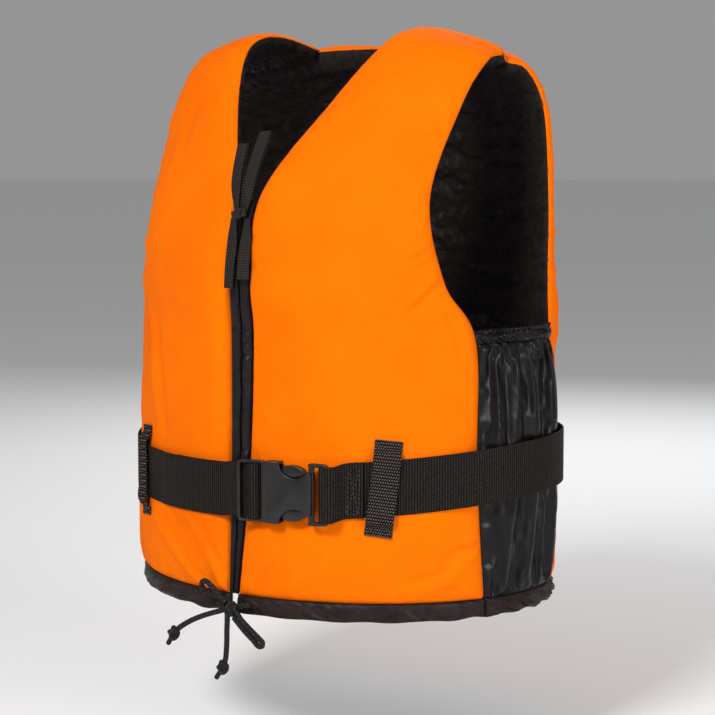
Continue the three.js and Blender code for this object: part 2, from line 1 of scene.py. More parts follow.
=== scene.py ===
"""Foam life jacket: two padded front panels and a padded back panel in orange nylon over foam, a ruched
black lining, thin side panels with a gathered top, a waist belt with a side-release buckle, a ribbon
bow at the neck and a drawcord at the hem.

Places are in millimetres, with heights measured up from the hem, until a mesh is made. A mesh is in
metres in the frame of the CAD model, whose origin is between the wearer's shoulders."""

import bmesh
import bpy
import numpy as np
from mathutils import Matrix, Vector


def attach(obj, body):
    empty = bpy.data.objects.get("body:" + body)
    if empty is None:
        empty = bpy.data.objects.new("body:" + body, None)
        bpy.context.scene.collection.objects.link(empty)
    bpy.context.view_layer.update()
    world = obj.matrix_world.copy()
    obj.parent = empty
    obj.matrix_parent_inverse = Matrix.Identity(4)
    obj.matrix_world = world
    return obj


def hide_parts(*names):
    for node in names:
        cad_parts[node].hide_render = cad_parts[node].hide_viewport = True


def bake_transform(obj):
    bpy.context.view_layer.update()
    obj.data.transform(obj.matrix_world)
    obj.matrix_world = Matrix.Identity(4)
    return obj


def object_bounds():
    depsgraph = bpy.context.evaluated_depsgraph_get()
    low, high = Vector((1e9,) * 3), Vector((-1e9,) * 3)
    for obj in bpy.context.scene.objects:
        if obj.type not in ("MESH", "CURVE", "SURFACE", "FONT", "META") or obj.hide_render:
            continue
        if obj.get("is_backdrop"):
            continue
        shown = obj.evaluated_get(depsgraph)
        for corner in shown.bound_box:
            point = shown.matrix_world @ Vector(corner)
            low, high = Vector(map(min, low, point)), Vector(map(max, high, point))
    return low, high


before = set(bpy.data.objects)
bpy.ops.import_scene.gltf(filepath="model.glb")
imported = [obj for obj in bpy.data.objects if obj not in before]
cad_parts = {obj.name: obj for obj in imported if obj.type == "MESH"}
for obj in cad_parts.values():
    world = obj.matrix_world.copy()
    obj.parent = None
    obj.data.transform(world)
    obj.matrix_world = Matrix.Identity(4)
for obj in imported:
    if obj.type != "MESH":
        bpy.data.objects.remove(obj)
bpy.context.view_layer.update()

# ---------------------------------------------------------------- camera, floor and light
# A long lens from the wearer's left front, a little above the belt's height, with the vest held up
# over a pale floor. Two large soft lamps and a white surround light it like a product picture.
SHOULDER_HEIGHT = 512.0


def placed(points):
    """Millimetres above the hem to metres in the model's frame."""
    return (np.asarray(points, float) - (0.0, 0.0, SHOULDER_HEIGHT)) * 0.001


def look_at(thing, place, aim):
    """Puts a camera or lamp at a place and turns it to face another, both in millimetres above the hem."""
    place, aim = placed(place), placed(aim)
    thing.location = place
    thing.rotation_euler = Vector(aim - place).to_track_quat("-Z", "Y").to_euler()
    bpy.context.scene.collection.objects.link(thing)


camera = bpy.data.objects.new("camera", bpy.data.cameras.new("camera"))
camera.data.sensor_width = 36.0
camera.data.lens = 107.4
look_at(camera, (1219.0, -1660.1, 429.0), (14.9, 0.0, 221.2))
bpy.context.scene.camera = camera

LAMPS = [
    ("key_lamp", (300.0, -2200.0, 1900.0), 700.0, 58.0),
    ("side_lamp", (2500.0, -500.0, 700.0), 700.0, 26.0),
    ("rim_lamp", (-900.0, 2200.0, 1500.0), 1200.0, 26.0),
]
for lamp_name, place, size, watts in LAMPS:
    lamp = bpy.data.objects.new(lamp_name, bpy.data.lights.new(lamp_name, "AREA"))
    lamp.data.size = size * 0.001
    lamp.data.energy = watts
    look_at(lamp, place, (0.0, 0.0, 250.0))

world = bpy.data.worlds.new("surround")
world.use_nodes = True
world.node_tree.nodes["Background"].inputs["Color"].default_value = (1.0, 1.0, 1.0, 1.0)
world.node_tree.nodes["Background"].inputs["Strength"].default_value = 0.3
bpy.context.scene.world = world
bpy.context.scene.view_settings.view_transform = "Standard"

bpy.ops.mesh.primitive_circle_add(vertices=96, radius=30.0, fill_type="NGON", location=(0.0, 0.0, -0.66))
floor = bpy.context.object
floor.name = "floor"
floor_paint = bpy.data.materials.new("floor_paint")
floor_paint.use_nodes = True
floor_paint.node_tree.nodes["Principled BSDF"].inputs["Base Color"].default_value = (0.9, 0.9, 0.9, 1.0)
floor_paint.node_tree.nodes["Principled BSDF"].inputs["Roughness"].default_value = 0.9
floor.data.materials.append(floor_paint)
floor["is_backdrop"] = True

# ---------------------------------------------------------------- drawcord at the hem
# 5 mm braided cord. It comes out of the hem casing on both sides of the opening and is tied in a bow:
# one open loop, one flattened loop, and two tails that each end in an overhand knot.
CORD = 5.0
PLAIT_SWELL, PLAIT_LENGTH = 0.16, 7.0
CORD_SIDE = (0.3, 1.0, 0.2)


def smooth_rows(table, v):
    """Rows of a table at fractional row numbers: a cubic whose slope at a row is half the step
    between its neighbours, and the single step at either end."""
    table = np.asarray(table, float)
    slope = np.gradient(table, axis=0)
    low = np.clip(np.floor(v).astype(int), 0, len(table) - 2)
    t = (v - low).reshape(v.shape + (1,) * (table.ndim - 1))
    a, b, m, n = table[low], table[low + 1], slope[low], slope[low + 1]
    return a + t * m + t**2 * (3 * (b - a) - 2 * m - n) + t**3 * (2 * (a - b) + m + n)


def even_path(points, step):
    """Smooth line through points, with stations about one step apart along it: a cubic between each two
    points, whose slope at a point is that of the parabola through it and its neighbours."""
    points = np.asarray(points, float)
    run = np.concatenate([[0.0], np.cumsum(np.linalg.norm(np.diff(points, axis=0), axis=1))])
    slope = np.gradient(points, run, axis=0)
    where = np.linspace(0, run[-1], 60 * len(points))
    low = np.clip(np.searchsorted(run, where, side="right") - 1, 0, len(points) - 2)
    gap = (run[low + 1] - run[low])[:, None]
    t = (where - run[low])[:, None] / gap
    a, b, m, n = points[low], points[low + 1], slope[low] * gap, slope[low + 1] * gap
    fine = a + t * m + t**2 * (3 * (b - a) - 2 * m - n) + t**3 * (2 * (a - b) + m + n)
    run = np.concatenate([[0.0], np.cumsum(np.linalg.norm(np.diff(fine, axis=0), axis=1))])
    where = np.linspace(0, run[-1], max(3, int(round(run[-1] / step)) + 1))
    return np.stack([np.interp(where, run, fine[:, k]) for k in range(3)], 1)


def unit(vectors):
    """Vectors scaled to length one."""
    return vectors / np.maximum(np.linalg.norm(vectors, axis=-1, keepdims=True), 1e-9)


def new_piece(name, points, faces, uv, material, slot, body="vest", stands_for=()):
    """A piece from points in millimetres, its faces and its texture places in metres per face corner.
    Faces are turned to point out, which a positive enclosed volume shows."""
    corners = points[faces[:, :3]]
    volume = np.einsum("ij,ij->i", corners[:, 0], np.cross(corners[:, 1], corners[:, 2])).sum()
    quad = faces[:, 3] >= 0
    second = np.where(quad[:, None], faces[:, [0, 2, 3]], 0)
    corners = points[second]
    volume += (np.einsum("ij,ij->i", corners[:, 0], np.cross(corners[:, 1], corners[:, 2])) * quad).sum()
    sizes = np.where(quad, 4, 3)
    order = np.broadcast_to(np.arange(4), faces.shape).copy()
    if volume < 0:
        order[quad] = [3, 2, 1, 0]
        order[~quad] = [2, 1, 0, 3]
    faces = np.take_along_axis(faces, order, 1)
    uv = np.take_along_axis(uv, order[..., None], 1)
    used = np.arange(4)[None, :] < sizes[:, None]
    mesh = bpy.data.meshes.new(name)
    mesh.vertices.add(len(points))
    mesh.vertices.foreach_set("co", placed(points).astype(np.float32).ravel())
    mesh.loops.add(int(sizes.sum()))
    mesh.loops.foreach_set("vertex_index", faces[used].astype(np.int32))
    mesh.polygons.add(len(faces))
    mesh.polygons.foreach_set("loop_start", (np.cumsum(sizes) - sizes).astype(np.int32))
    mesh.polygons.foreach_set("loop_total", sizes.astype(np.int32))
    mesh.update(calc_edges=True)
    layer = mesh.uv_layers.new(name="cloth")
    layer.data.foreach_set("uv", uv[used].astype(np.float32).ravel())
    mesh.polygons.foreach_set("use_smooth", np.ones(len(faces), bool))
    mesh.materials.append(material)
    mesh.validate()
    piece = bpy.data.objects.new(name, mesh)
    bpy.context.scene.collection.objects.link(piece)
    if body:
        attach(piece, body)
    if stands_for:
        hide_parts(*stands_for)
    return piece


def tube_faces(rings, sides):
    """Quads round a tube of rings and a fan on each end, and the quads' ring and side numbers; the two
    middle points of the ends follow the rings, and -1 stands for a triangle's fourth corner."""
    r, c = np.meshgrid(np.arange(rings - 1), np.arange(sides), indexing="ij")
    nxt = (c + 1) % sides
    quads = np.stack([r * sides + c, r * sides + nxt, (r + 1) * sides + nxt, (r + 1) * sides + c], -1)
    side = np.arange(sides)
    turn = (side + 1) % sides
    last = (rings - 1) * sides
    none = np.full(sides, -1)
    start = np.stack([np.full(sides, rings * sides), turn, side, none], -1)
    end = np.stack([np.full(sides, rings * sides + 1), last + side, last + turn, none], -1)
    return np.concatenate([quads.reshape(-1, 4), start, end]), (r, c)


def tube(rings):
    """Points, faces and texture places of a closed tube through rings of points, shape (rings, sides, 3).
    The texture runs along the tube and round it, in metres."""
    count, sides = rings.shape[:2]
    faces, (r, c) = tube_faces(count, sides)
    middle = rings.mean(axis=1)
    along = np.concatenate([[0.0], np.cumsum(np.linalg.norm(np.diff(middle, axis=0), axis=1))])
    closed_ring = np.concatenate([rings[count // 2], rings[count // 2, :1]])
    around = np.concatenate([[0.0], np.cumsum(np.linalg.norm(np.diff(closed_ring, axis=0), axis=1))])
    u = np.stack([along[r], along[r], along[r + 1], along[r + 1]], -1).reshape(-1, 4)
    v = np.stack([around[c], around[c + 1], around[c + 1], around[c]], -1).reshape(-1, 4)
    uv = np.zeros((len(faces), 4, 2))
    uv[: len(u), :, 0] = u
    uv[: len(v), :, 1] = v
    uv[len(u) :, :, 0] = np.repeat([along[0], along[-1]], sides)[:, None]
    points = np.concatenate([rings.reshape(-1, 3), rings[0].mean(0)[None], rings[-1].mean(0)[None]])
    return points, faces, uv * 0.001


def joined(parts):
    """Several (points, faces, uv) as one."""
    start = np.cumsum([0] + [len(part[0]) for part in parts])
    faces = [np.where(part[1] >= 0, part[1] + first, -1) for part, first in zip(parts, start)]
    return np.concatenate([p[0] for p in parts]), np.concatenate(faces), np.concatenate([p[2] for p in parts])


def frames_along(path, hint):
    """Tangent, side and normal at each station; the side stays close to the hint direction."""
    tangent = unit(np.gradient(path, axis=0))
    hint = np.broadcast_to(np.asarray(hint, float), path.shape)
    side = unit(hint - (hint * tangent).sum(1, keepdims=True) * tangent)
    return tangent, side, np.cross(tangent, side)


def round_cord(path, radius, sides=20):
    """Braided cord along a path: its radius swells a little on two crossing spirals, and its ends are
    rounded off by the last stations closing in."""
    tangent, side, normal = frames_along(path, CORD_SIDE)
    along = np.concatenate([[0.0], np.cumsum(np.linalg.norm(np.diff(path, axis=0), axis=1))])
    turn = np.linspace(0, 2 * np.pi, sides, endpoint=False)
    spiral = 2 * np.pi * along[:, None] / PLAIT_LENGTH
    swell = np.sin(4 * turn + spiral) * np.sin(4 * turn - spiral)
    size = radius + PLAIT_SWELL * swell
    from_end = np.minimum(along, along[-1] - along)
    size = size * np.sqrt(1 - (1 - np.clip(from_end / (0.5 * radius), 0, 1)) ** 2 * 0.75)[:, None]
    ring = size[..., None] * (
        np.cos(turn)[None, :, None] * side[:, None] + np.sin(turn)[None, :, None] * normal[:, None]
    )
    return tube(path[:, None] + ring)


def node_chain(name):
    """A new material, its node tree, and its surface shader."""
    material = bpy.data.materials.new(name)
    material.use_nodes = True
    tree = material.node_tree
    return material, tree, tree.nodes["Principled BSDF"]


def maths(tree, operation, first, second=0.5):
    """A math node on two numbers or sockets."""
    node = tree.nodes.new("ShaderNodeMath")
    node.operation = operation
    for socket, value in zip(node.inputs, (first, second)):
        if isinstance(value, (int, float)):
            socket.default_value = value
        else:
            tree.links.new(value, socket)
    return node.outputs[0]


def texture_places(tree):
    """The piece's own texture places along and across, as two sockets, in metres."""
    places = tree.nodes.new("ShaderNodeUVMap")
    places.uv_map = "cloth"
    split = tree.nodes.new("ShaderNodeSeparateXYZ")
    tree.links.new(places.outputs[0], split.inputs[0])
    return split.outputs[0], split.outputs[1]


def wave(tree, u, v, per_u, per_v):
    """Sine of a plane wave with so many periods per metre along u and along v."""
    along = maths(tree, "MULTIPLY", u, 2 * np.pi * per_u)
    across = maths(tree, "MULTIPLY", v, 2 * np.pi * per_v)
    return maths(tree, "SINE", maths(tree, "ADD", along, across))


def noise(tree, scale, detail, roughness=0.5):
    """Noise in the piece's own space, as a socket."""
    where = tree.nodes.new("ShaderNodeTexCoord")
    texture = tree.nodes.new("ShaderNodeTexNoise")
    texture.inputs["Scale"].default_value = scale
    texture.inputs["Detail"].default_value = detail
    texture.inputs["Roughness"].default_value = roughness
    tree.links.new(where.outputs["Object"], texture.inputs["Vector"])
    return texture.outputs[0]


def colours_by(tree, amount, low, high, start=0.0, end=1.0):
    """Blends two colours as a socket goes from start to end."""
    ramp = tree.nodes.new("ShaderNodeValToRGB")
    ramp.color_ramp.elements[0].position = start
    ramp.color_ramp.elements[0].color = (*low, 1.0)
    ramp.color_ramp.elements[1].position = end
    ramp.color_ramp.elements[1].color = (*high, 1.0)
    tree.links.new(amount, ramp.inputs[0])
    return ramp.outputs[0]


def bumped(tree, shader, height, distance):
    """Gives the shader a bump of so many metres at height 1."""
    bump = tree.nodes.new("ShaderNodeBump")
    bump.inputs["Distance"].default_value = distance
    tree.links.new(height, bump.inputs["Height"])
    tree.links.new(bump.outputs[0], shader.inputs["Normal"])


def cord_finish():
    """Black polyester braid: two crossing families of strands, and a pale tracer thread in one of them."""
    material, tree, shader = node_chain("braided_cord")
    u, v = texture_places(tree)
    braid = maths(tree, "MULTIPLY", wave(tree, u, v, 280, 255), wave(tree, u, v, 280, -255))
    tracer = maths(tree, "MULTIPLY", wave(tree, u, v, 90, 64), wave(tree, u, v, 280, -255))
    tracer = maths(tree, "SUBTRACT", tracer, 0.35)
    light = maths(tree, "MAXIMUM", maths(tree, "MULTIPLY", braid, 0.35), tracer)
    shade = colours_by(tree, light, (0.005, 0.0045, 0.0045), (0.09, 0.085, 0.08), 0.1, 0.8)
    tree.links.new(shade, shader.inputs["Base Color"])
    shader.inputs["Roughness"].default_value = 0.62
    shader.inputs["Specular IOR Level"].default_value = 0.2
    bumped(tree, shader, braid, 0.0003)
    return material


braided_cord = cord_finish()

KNOT = np.array([7.0, -184.0, 7.0])
RIGHT_TAIL = [
    (26, -181, 11.5), (21, -181.5, 11), (14, -182.5, 9), (6, -184, 7), (-4, -186.5, 3.5),
    (-13, -187, 0.5), (-25, -188, -4), (-36, -189, -9), (-47, -190, -15.5), (-52, -190, -19),
    (-57.5, -190, -24),
]
LEFT_TAIL = [
    (-12, -181, 9), (-7.5, -181.5, 8), (-3, -182.5, 6.6), (1.5, -184.2, 4.2), (3.6, -186.2, 0),
    (4.4, -187.3, -5.5), (4.6, -188, -12), (4.4, -188, -22), (3.8, -188, -32), (2.6, -188, -40.5),
    (0.2, -188, -47),
]
OPEN_LOOP = [
    (2, -186, 11.5), (-3, -187, 16), (-9, -187, 21), (-17, -186.5, 26.5), (-23, -185.5, 28.6),
    (-27.5, -184.5, 26.5), (-28.5, -183.5, 22.5), (-25, -182.5, 18.5), (-15.5, -182, 16.3),
    (-7, -181.5, 14.5), (2, -182, 11),
]
FLAT_LOOP = [
    (13, -185.6, 5.2), (20, -187, -1.2), (28, -188, -6.4), (37, -189, -11.8), (44, -190, -15.8),
    (47.2, -190, -18.4), (47, -190, -21.4), (44, -190, -22.4), (36, -189, -18.0), (26, -187.6, -12.2),
    (17, -186.2, -6), (10, -185, -1),
]


def add_cord(name, route, stands_for):
    """A 5 mm cord that hangs along a route of points."""
    path = even_path(route, 0.8)
    piece = new_piece(name, *round_cord(path, CORD / 2), braided_cord, stands_for=stands_for, slot="cord")


def wound_knot(center, direction, radius, turns, cord_radius, seed):
    """Overhand knot: a strand that winds round the cord as a trefoil-like coil, seen as crossing wraps.
    The coil's distance from the axis and its place along the axis both go through full waves."""
    rng = np.random.default_rng(seed)
    t = np.linspace(0, 2 * np.pi * turns, int(34 * turns))
    lean = rng.uniform(0.2, 0.4)
    axis = unit(np.asarray(direction, float))
    side = unit(np.cross(axis, CORD_SIDE))
    normal = np.cross(axis, side)
    away = radius * (0.72 + 0.18 * np.cos(1.5 * t))
    along = radius * (0.62 * np.sin(1.5 * t + lean) + lean * np.cos(t))
    path = (
        np.asarray(center, float)
        + along[:, None] * axis
        + (away * np.cos(t))[:, None] * side
        + (away * np.sin(t))[:, None] * normal * 0.8
    )
    return round_cord(path, cord_radius, sides=14)


def stub(start, end, radius):
    """Short cut end of a cord, standing out of its knot."""
    return round_cord(even_path(np.array([start, (np.add(start, end)) / 2, end], float), 0.8), radius)


knot_parts = [
    wound_knot(KNOT, (1.0, 0.2, -0.3), 5.2, 2.4, CORD / 2, 3),
    wound_knot(KNOT + (0.6, -0.4, -0.6), (0.2, 0.3, 1.0), 4.6, 1.2, CORD / 2, 5),
]
bow_knot = new_piece("drawcord_knot_tied", *joined(knot_parts), braided_cord,
                     stands_for=["drawcord_knot"], slot="cord")
STOPS = {
    "right": ((-57.5, -190, -24.0), (-65.0, -190, -35.5), (-0.6, 0.0, -0.8)),
    "left": ((-0.5, -188, -48.5), (-8.8, -188, -60.0), (-0.3, 0.0, -1.0)),
}
for wearer_side, (center, tip, lean) in STOPS.items():
    parts = [wound_knot(center, lean, 4.6, 2.2, CORD / 2 - 0.2, 11), stub(center, tip, CORD / 2 - 0.2)]
    new_piece(
        f"drawcord_end_knot_{wearer_side}", *joined(parts), braided_cord,
        stands_for=[f"drawcord_stop_{wearer_side}"], slot="cord")

add_cord("drawcord_from_left_hem", RIGHT_TAIL, ["drawcord_run_left", "drawcord_tail_right"])
add_cord("drawcord_from_right_hem", LEFT_TAIL, ["drawcord_run_right", "drawcord_tail_left"])
add_cord("drawcord_open_loop", OPEN_LOOP, ["drawcord_loop_right"])
add_cord("drawcord_flat_loop", FLAT_LOOP, ["drawcord_loop_left"])

# ---------------------------------------------------------------- the form under the padded panels
# The three padded panels follow one body form: a half ellipse at each level, front and back, that
# rises from the hem, narrows to the shoulder straps and meets over the shoulders.
# Columns: height, y at the centre, half width, half depth, x of the panel's inner edge, x of its
# outer edge, and how steeply the level falls outwards.
FRONT_LEVELS = [
    [0, -172, 208, 178, 5, 196, 0],
    [136, -160, 212, 166, 11, 193, 0],
    [252, -157, 209, 163, 13, 190, 0],
    [304, -160, 206, 166, 12, 172, 0],
    [380, -147, 203, 153, 14, 159, 0],
    [464, -98, 202, 111, 55, 166, 0.05],
    [509, -64, 192, 93, 76, 170, 0.1],
    [528, -34, 178, 72, 82, 168, 0.24],
    [530, 8, 174, 20, 80, 165, 0.24],
    [518, 66, 180, -68, 74, 166, 0.2],
]
BACK_LEVELS = [
    [0, 160, 208, 154, 0, 199, 0],
    [136, 153, 212, 147, 0, 196, 0],
    [252, 150, 209, 144, 0, 199, 0],
    [304, 154, 206, 148, 0, 195, 0],
    [380, 154, 203, 142, 0, 189, 0],
    [464, 132, 202, 121, 0, 190, 0.05],
    [504, 98, 192, 92, 0, 180, 0.1],
    [518, 66, 180, 68, 0, 166, 0.2],
]
FRONT, BACK = 1, -1
LEVELS = {FRONT: FRONT_LEVELS, BACK: BACK_LEVELS}
NECK_X = 75.0
BEND = 20.0
MIDDLE_X = 120.0
HEM_HEIGHT = 17.0
SEAM_GAP = 0.3


def surface_point(side, x, v):
    """Point of the form at distance x from the centre line and level v: the half ellipse's bow is its
    depth times one less the cosine, and beyond the neck the level falls away in a smooth ramp."""
    level = smooth_rows(LEVELS[side], v)
    sine = np.clip(x / level[..., 2], -1, 1)
    bow = level[..., 3] * (1 - np.sqrt(1 - sine**2))
    beyond = np.abs(x) - NECK_X
    fall = level[..., 6] * (beyond + np.hypot(beyond, BEND) - BEND) / 2
    return np.stack([x, level[..., 1] + side * bow, level[..., 0] - fall], -1)


def surface_normal(side, x, v):
    """Outward unit normal of the form, from small steps along and across."""
    last = len(LEVELS[side]) - 1
    across = surface_point(side, x + 0.5, v) - surface_point(side, x - 0.5, v)
    up = surface_point(side, x, np.minimum(v + 0.01, last)) - surface_point(side, x, np.maximum(v - 0.01, 0))
    return unit(np.cross(across, up)) * side


def level_at_height(height):
    """The level at which the front of the form reaches a height below the shoulders."""
    v = np.linspace(0, 5, 2001)
    return np.interp(height, smooth_rows(FRONT_LEVELS, v)[:, 0], v)


def ring_point(angle, height, standoff):
    """Point, up and outward directions all the way round the body; angle 0 is the centre front and 90
    the wearer's left, and the point stands off the form by so many millimetres."""
    turn = np.radians(angle)
    side = np.where(np.cos(turn) >= 0, FRONT, BACK)

    def at(theta, z):
        """The form's own point at an angle and a height."""
        v = level_at_height(z)
        front, back = smooth_rows(FRONT_LEVELS, v), smooth_rows(BACK_LEVELS, v)
        level = np.where((side == FRONT)[..., None], front, back)
        bow = level[..., 3] * (1 - np.abs(np.cos(theta)))
        return np.stack([level[..., 2] * np.sin(theta), level[..., 1] + side * bow, z + 0 * theta], -1)

    here = at(turn, height)
    around = at(turn + 0.004 * side, height) - here
    up = unit(at(turn, height + 2) - at(turn, height - 2))
    out = unit(np.cross(around, up)) * side[..., None]
    return here + out * np.asarray(standoff)[..., None], up, out


def edge_angle(side, height):
    """Angle round the body of a panel's outer edge at a height."""
    level = smooth_rows(LEVELS[side], level_at_height(height))
    angle = np.degrees(np.arcsin(level[..., 5] / level[..., 2]))
    return angle if side == FRONT else 180 - angle


def random_waves(seed, wavelengths, *places, count=18):
    """Smooth uneven field of about one: plane waves in random directions, each place axis having a
    wavelength of its own."""
    rng = np.random.default_rng(seed)
    total = 0.0
    for _ in range(count):
        way = unit(rng.normal(size=len(places))) * rng.uniform(0.7, 1.35)
        phase = sum(w * p / length for w, p, length in zip(way, places, wavelengths))
        total = total + np.cos(2 * np.pi * (phase + rng.uniform()))
    return total * np.sqrt(2.0 / count)


def panel_grid(side, spacing):
    """A padded panel's seam surface as a grid: points, normals, and the distances of each point from the
    inner edge, the outer edge, the hem seam and the shoulder seam."""
    v_all = np.linspace(level_at_height(HEM_HEIGHT + SEAM_GAP), len(LEVELS[side]) - 1, 600)
    middle = surface_point(side, np.full(600, MIDDLE_X), v_all)
    run = np.concatenate([[0.0], np.cumsum(np.linalg.norm(np.diff(middle, axis=0), axis=1))])
    total = run[-1] - 1.0
    rows = int(total / spacing) + 1
    along = np.linspace(0, total, rows)
    v = np.interp(along, run, v_all)
    level = smooth_rows(LEVELS[side], v)
    outer = level[:, 5]
    inner = level[:, 4] if side == FRONT else -outer
    columns = int((outer - inner).max() / spacing) + 1
    share = np.linspace(0, 1, columns)
    x = inner[:, None] + share[None, :] * (outer - inner)[:, None]
    v = np.broadcast_to(v[:, None], x.shape)
    along = np.broadcast_to(along[:, None], x.shape)
    return {
        "point": surface_point(side, x, v), "normal": surface_normal(side, x, v),
        "inner": x - inner[:, None], "outer": outer[:, None] - x, "hem": along, "shoulder": total - along,
    }


def nearest_seam(grid):
    """Distance from the nearest seam, rounded where two seams are equally near."""
    names = ("inner", "outer", "hem", "shoulder")
    near = sum(np.maximum(grid[name] * (1.8 if name == "shoulder" else 1.0), 0.01) ** -5.0 for name in names)
    return np.maximum(near ** (-1 / 5) - 0.01, 0)


def crown(distance, reach=34.0):
    """0 at a seam and 1 where the foam is at full thickness, on a quarter ellipse."""
    return np.sqrt(1 - (1 - np.minimum(1, distance / reach)) ** 2)


def two_faces(front, back, texture):
    """Points, faces and texture places of a closed sheet from its two faces, grids of one shape."""
    rows, columns = front.shape[:2]
    r, c = np.meshgrid(np.arange(rows - 1), np.arange(columns - 1), indexing="ij")
    r, c = r.ravel(), c.ravel()
    corner = r * columns + c
    quads = np.stack([corner, corner + 1, corner + columns + 1, corner + columns], -1)
    shift = rows * columns
    rim = np.concatenate([
        np.arange(columns), np.arange(1, rows) * columns + columns - 1,
        (rows - 1) * columns + np.arange(columns - 2, -1, -1), np.arange(rows - 2, 0, -1) * columns,
    ])
    nxt = np.roll(rim, -1)
    walls = np.stack([nxt, rim, rim + shift, nxt + shift], -1)
    faces = np.concatenate([quads, quads[:, ::-1] + shift, walls])
    places = np.concatenate([texture.reshape(-1, 2)] * 2)
    return np.concatenate([front.reshape(-1, 3), back.reshape(-1, 3)]), faces, places[faces] * 0.001


def mirrored(part):
    """The same part on the wearer's right."""
    points, faces, uv = part
    return points * (-1, 1, 1), faces, uv


def worn_on(wearer_side, part):
    """A part made for the wearer's left, as it is on either side."""
    return part if wearer_side == "left" else mirrored(part)


def creases(grid_across, grid_along, folds):
    """Height of listed folds. Each is a line between two places with a width and a height: a round
    ridge with a sharper valley beside it, fading at both ends."""
    total = np.zeros_like(grid_across)
    for (u0, w0), (u1, w1), width, height in folds:
        du, dw = u1 - u0, w1 - w0
        length = np.hypot(du, dw)
        along = ((grid_across - u0) * du + (grid_along - w0) * dw) / length**2
        off = ((grid_across - u0) * dw - (grid_along - w0) * du) / length / width
        fade = np.exp(-((np.clip(np.abs(along - 0.5) - 0.35, 0, None) / 0.22) ** 2))
        total += height * fade * (np.exp(-(off**2)) - 0.8 * np.exp(-(((off - 1.5) / 0.7) ** 2)))
    return total


def pucker(seed, distance, along, reach, wavelength):
    """Gathering beside a seam: ripples across the seam line that die away from it."""
    ripple = random_waves(seed, (wavelength, reach * 6), along, distance)
    return ripple * np.exp(-distance / reach) * np.minimum(1, distance / 2.0)


# ---------------------------------------------------------------- foam pads
# Stacks of soft closed-cell foam sheets, cut a little smaller than their pockets and rounded by the
# cover. They give the panels their thickness and are wholly inside the shell and the lining.
SEAM_ALLOWANCE = 7.0
FOAM_OUT, FOAM_IN = 5.0, 9.5


def foam_finish():
    """Off-white foam with fine closed cells."""
    material, tree, shader = node_chain("buoyancy_foam")
    cells = noise(tree, 900.0, 2.0)
    tree.links.new(colours_by(tree, cells, (0.62, 0.6, 0.52), (0.82, 0.8, 0.72)), shader.inputs["Base Color"])
    shader.inputs["Roughness"].default_value = 0.9
    bumped(tree, shader, cells, 0.0004)
    return material


buoyancy_foam = foam_finish()


def foam_pad(side):
    """Closed pad between the two covers; its rim is pulled in from the seams by the allowance."""
    grid = panel_grid(side, 6.0)
    keep = nearest_seam(grid) > SEAM_ALLOWANCE
    rows = np.where(keep.any(axis=1))[0]
    columns = np.where(keep.any(axis=0))[0]
    cut = {k: g[rows[0]:rows[-1] + 1, columns[0]:columns[-1] + 1] for k, g in grid.items()}
    depth = crown(np.maximum(nearest_seam(cut) - SEAM_ALLOWANCE * 0.6, 0.2), 38.0)[..., None]
    texture = np.stack([cut["inner"], cut["hem"]], -1)
    outer = cut["point"] + cut["normal"] * FOAM_OUT * depth
    inner = cut["point"] - cut["normal"] * FOAM_IN * depth
    return two_faces(outer, inner, texture)


front_pad = foam_pad(FRONT)
for wearer_side in ("left", "right"):
    pad = new_piece(f"foam_pad_front_{wearer_side}", *worn_on(wearer_side, front_pad), buoyancy_foam,
                    stands_for=[f"front_foam_{wearer_side}"], slot="foam")
pad = new_piece("foam_pad_back", *foam_pad(BACK), buoyancy_foam, stands_for=["back_foam"], slot="foam")

# ---------------------------------------------------------------- orange outer shell
# Closely woven matt nylon, cut in three panels, sewn to the lining round every edge and turned. The
# foam fills it to a rounded edge; the curved seams pull the cloth into short wrinkles.
SHELL_OUT = 9.0
SHELL_THICKNESS = 0.9
SHELL_CUT = (1.015, 1.015, 1.015)
BELT_HEIGHT, BELT_RISE, BELT_RISE_ANGLE, BELT_TILT = 113.0, 18.0, 110.0, 6.0
BELT_HALF_WIDTH, BELT_HALF_DEPTH = 215.0, 172.0
FRONT_LOOP_X, BACK_LOOP_X = 134.0, 120.0
DEEPEST_VALLEY = -2.4


